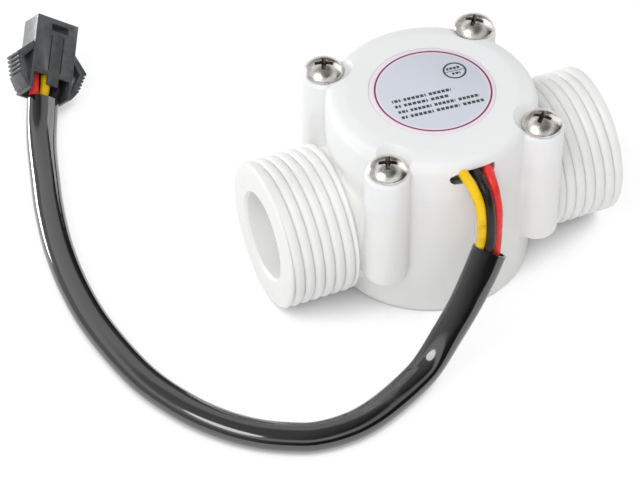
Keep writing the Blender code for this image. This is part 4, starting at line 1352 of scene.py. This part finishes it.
class FLOW_OT_studio(Operator):
    """Builds the pale floor, the soft lamps, the world and the camera."""

    bl_idname = "flow_sensor.studio"
    bl_label = "Studio"

    def floor(self):
        let_go()
        bpy.ops.mesh.primitive_plane_add(size=6, location=(0, 0, 0))
        ground = bpy.context.object
        ground.name = ground.data.name = "studio_floor"
        made = Surface("studio floor", (0.86, 0.86, 0.865), 0.9)
        made.set("Specular IOR Level", 0.1)
        made.colour(
            made.tint(made.spread(made.noise(3, 2), 0, 1), (0.855, 0.855, 0.862), (0.865, 0.865, 0.87))
        )
        # The floor glows white to camera, glossy and transmission rays; ambient occlusion dims the glow near
        # the object, a painted contact shadow
        lit = made.node("ShaderNodeLightPath")
        seen = made.node("ShaderNodeMath", operation="MAXIMUM")
        made.link(lit.outputs["Is Camera Ray"], seen.inputs[0])
        made.link(lit.outputs["Is Glossy Ray"], seen.inputs[1])
        both = made.node("ShaderNodeMath", operation="MAXIMUM")
        made.link(seen.outputs[0], both.inputs[0])
        made.link(lit.outputs["Is Transmission Ray"], both.inputs[1])
        share = made.node("ShaderNodeMath", operation="MULTIPLY")
        made.link(both.outputs[0], share.inputs[0])
        share.inputs[1].default_value = 0.74
        contact_shade = made.node("ShaderNodeAmbientOcclusion")
        contact_shade.inputs["Distance"].default_value = 0.014
        glow = made.node("ShaderNodeEmission")
        glow.inputs["Color"].default_value = (1, 1, 1, 1)
        made.link(made.spread(contact_shade.outputs["AO"], 0.12, 1.10, 0.10, 0.48), glow.inputs["Strength"])
        total = made.node("ShaderNodeMixShader")
        made.link(share.outputs[0], total.inputs[0])
        made.link(made.shader.outputs[0], total.inputs[1])
        made.link(glow.outputs[0], total.inputs[2])
        end = made.tree.nodes["Material Output"]
        made.link(total.outputs[0], end.inputs["Surface"])
        ground.data.materials.append(made.made)

    def execute(self, context):
        self.floor()
        scene = context.scene
        world = bpy.data.worlds.new("studio world")
        world.use_nodes = True
        tree = world.node_tree
        back = tree.nodes["Background"]
        back.inputs["Color"].default_value = (1.0, 1.0, 1.0, 1.0)
        lit = tree.nodes.new("ShaderNodeLightPath")
        way = tree.nodes.new("ShaderNodeTexCoord")

        def slope(toward, span, levels):
            facing = tree.nodes.new("ShaderNodeVectorMath")
            facing.operation = "DOT_PRODUCT"
            facing.inputs[1].default_value = toward
            tree.links.new(way.outputs["Generated"], facing.inputs[0])
            made = tree.nodes.new("ShaderNodeMapRange")
            for socket, value in zip(("From Min", "From Max", "To Min", "To Max"), (*span, *levels)):
                made.inputs[socket].default_value = value
            tree.links.new(facing.outputs["Value"], made.inputs["Value"])
            return made.outputs["Result"]

        def of_two(operation, one, two):
            made = tree.nodes.new("ShaderNodeMath")
            made.operation = operation
            tree.links.new(one, made.inputs[0])
            tree.links.new(two, made.inputs[1])
            return made.outputs[0]

        def by_ray(ray, otherwise):
            made = tree.nodes.new("ShaderNodeMix")
            made.data_type = "FLOAT"
            tree.links.new(lit.outputs[ray], made.inputs[0])
            tree.links.new(otherwise, made.inputs[2])
            return made

        up = (0, 0, 1)
        sky = slope((-0.12, 0.25, 0.95), (-0.2, 1.0), (0.40, 0.74))
        dim = slope((-0.78, 0.50, 0.38), (-0.10, 0.95), (0.03, 0.50))
        band = of_two("MULTIPLY", slope(up, (0.50, 0.60), (0, 1)), slope(up, (0.78, 0.88), (1, 0)))
        band = of_two("MULTIPLY", band, slope((-0.83, -0.20, 0), (-0.45, 0.0), (0.70, 0.95)))
        mirrored = by_ray("Is Glossy Ray", sky)
        tree.links.new(of_two("MAXIMUM", dim, band), mirrored.inputs[3])
        seen = by_ray("Is Camera Ray", mirrored.outputs[0])
        seen.inputs[3].default_value = 1.0
        tree.links.new(seen.outputs[0], back.inputs["Strength"])
        scene.world = world
        for name, place, aim, size, watts, mirrors in (
            ("left lamp", (-0.45, -0.11, 0.70), (0, 0, 0.02), (0.44, 0.30), 1.35, True),
            ("right lamp", (0.80, 0.31, 0.33), (0, 0, 0.02), (0.60, 0.56), 1.25, True),
            ("front lamp", (-0.38, -0.53, 0.63), (0, 0, 0.01), (0.40, 0.40), 1.85, False),
            ("low lamp", (-0.30, -0.88, 0.13), (0, 0, 0.01), (0.90, 0.24), 1.1, False),
            ("back lamp", (-0.19, 0.27, 0.035), (-0.050, 0.066, 0.012), (0.14, 0.06), 0.36, True),
        ):
            soft_lamp(name, place, aim, size, watts).visible_glossy = mirrors
        view = bpy.data.cameras.new("camera")
        view.lens = 170.9
        view.sensor_width = 36
        view.clip_start = 0.01
        made = bpy.data.objects.new("camera", view)
        made.location = (-0.16926, -0.34471, 0.38776)
        made.rotation_euler = (math.radians(44.52), 0, math.radians(-23.29))
        scene.collection.objects.link(made)
        scene.camera = made
        scene.view_settings.view_transform = "Standard"
        return {"FINISHED"}


class FLOW_PT_pieces(Panel):
    """Lists the pieces of the flow sensor and the sizes and colours that they take."""

    bl_idname = "FLOW_PT_pieces"
    bl_label = "Flow Sensor"
    bl_space_type = "VIEW_3D"
    bl_region_type = "UI"
    bl_category = "Flow Sensor"

    def draw(self, context):
        for kind in OPERATORS:
            self.layout.operator(kind.bl_idname)
        for group in (context.scene.flow_body, context.scene.flow_lead, context.scene.flow_colours):
            box = self.layout.box()
            for name in group.__annotations__:
                box.prop(group, name)


OPERATORS = (
    FLOW_OT_studio,
    FLOW_OT_housing,
    FLOW_OT_cover,
    FLOW_OT_label,
    FLOW_OT_screws,
    FLOW_OT_plug,
    FLOW_OT_lead,
    FLOW_OT_inner_parts,
)
CLASSES = (FlowBodySettings, FlowLeadSettings, FlowColourSettings, *OPERATORS, FLOW_PT_pieces)


def register():
    for kind in CLASSES:
        bpy.utils.register_class(kind)
    bpy.types.Scene.flow_body = PointerProperty(type=FlowBodySettings)
    bpy.types.Scene.flow_lead = PointerProperty(type=FlowLeadSettings)
    bpy.types.Scene.flow_colours = PointerProperty(type=FlowColourSettings)


def unregister():
    del bpy.types.Scene.flow_colours
    del bpy.types.Scene.flow_lead
    del bpy.types.Scene.flow_body
    for kind in reversed(CLASSES):
        bpy.utils.unregister_class(kind)


def main():
    register()
    bpy.ops.flow_sensor.studio()
    bpy.ops.flow_sensor.housing()
    bpy.ops.flow_sensor.cover()
    bpy.ops.flow_sensor.label()
    bpy.ops.flow_sensor.screws()
    bpy.ops.flow_sensor.plug()
    bpy.ops.flow_sensor.lead()
    bpy.ops.flow_sensor.inner_parts()


if __name__ == "__main__":
    main()
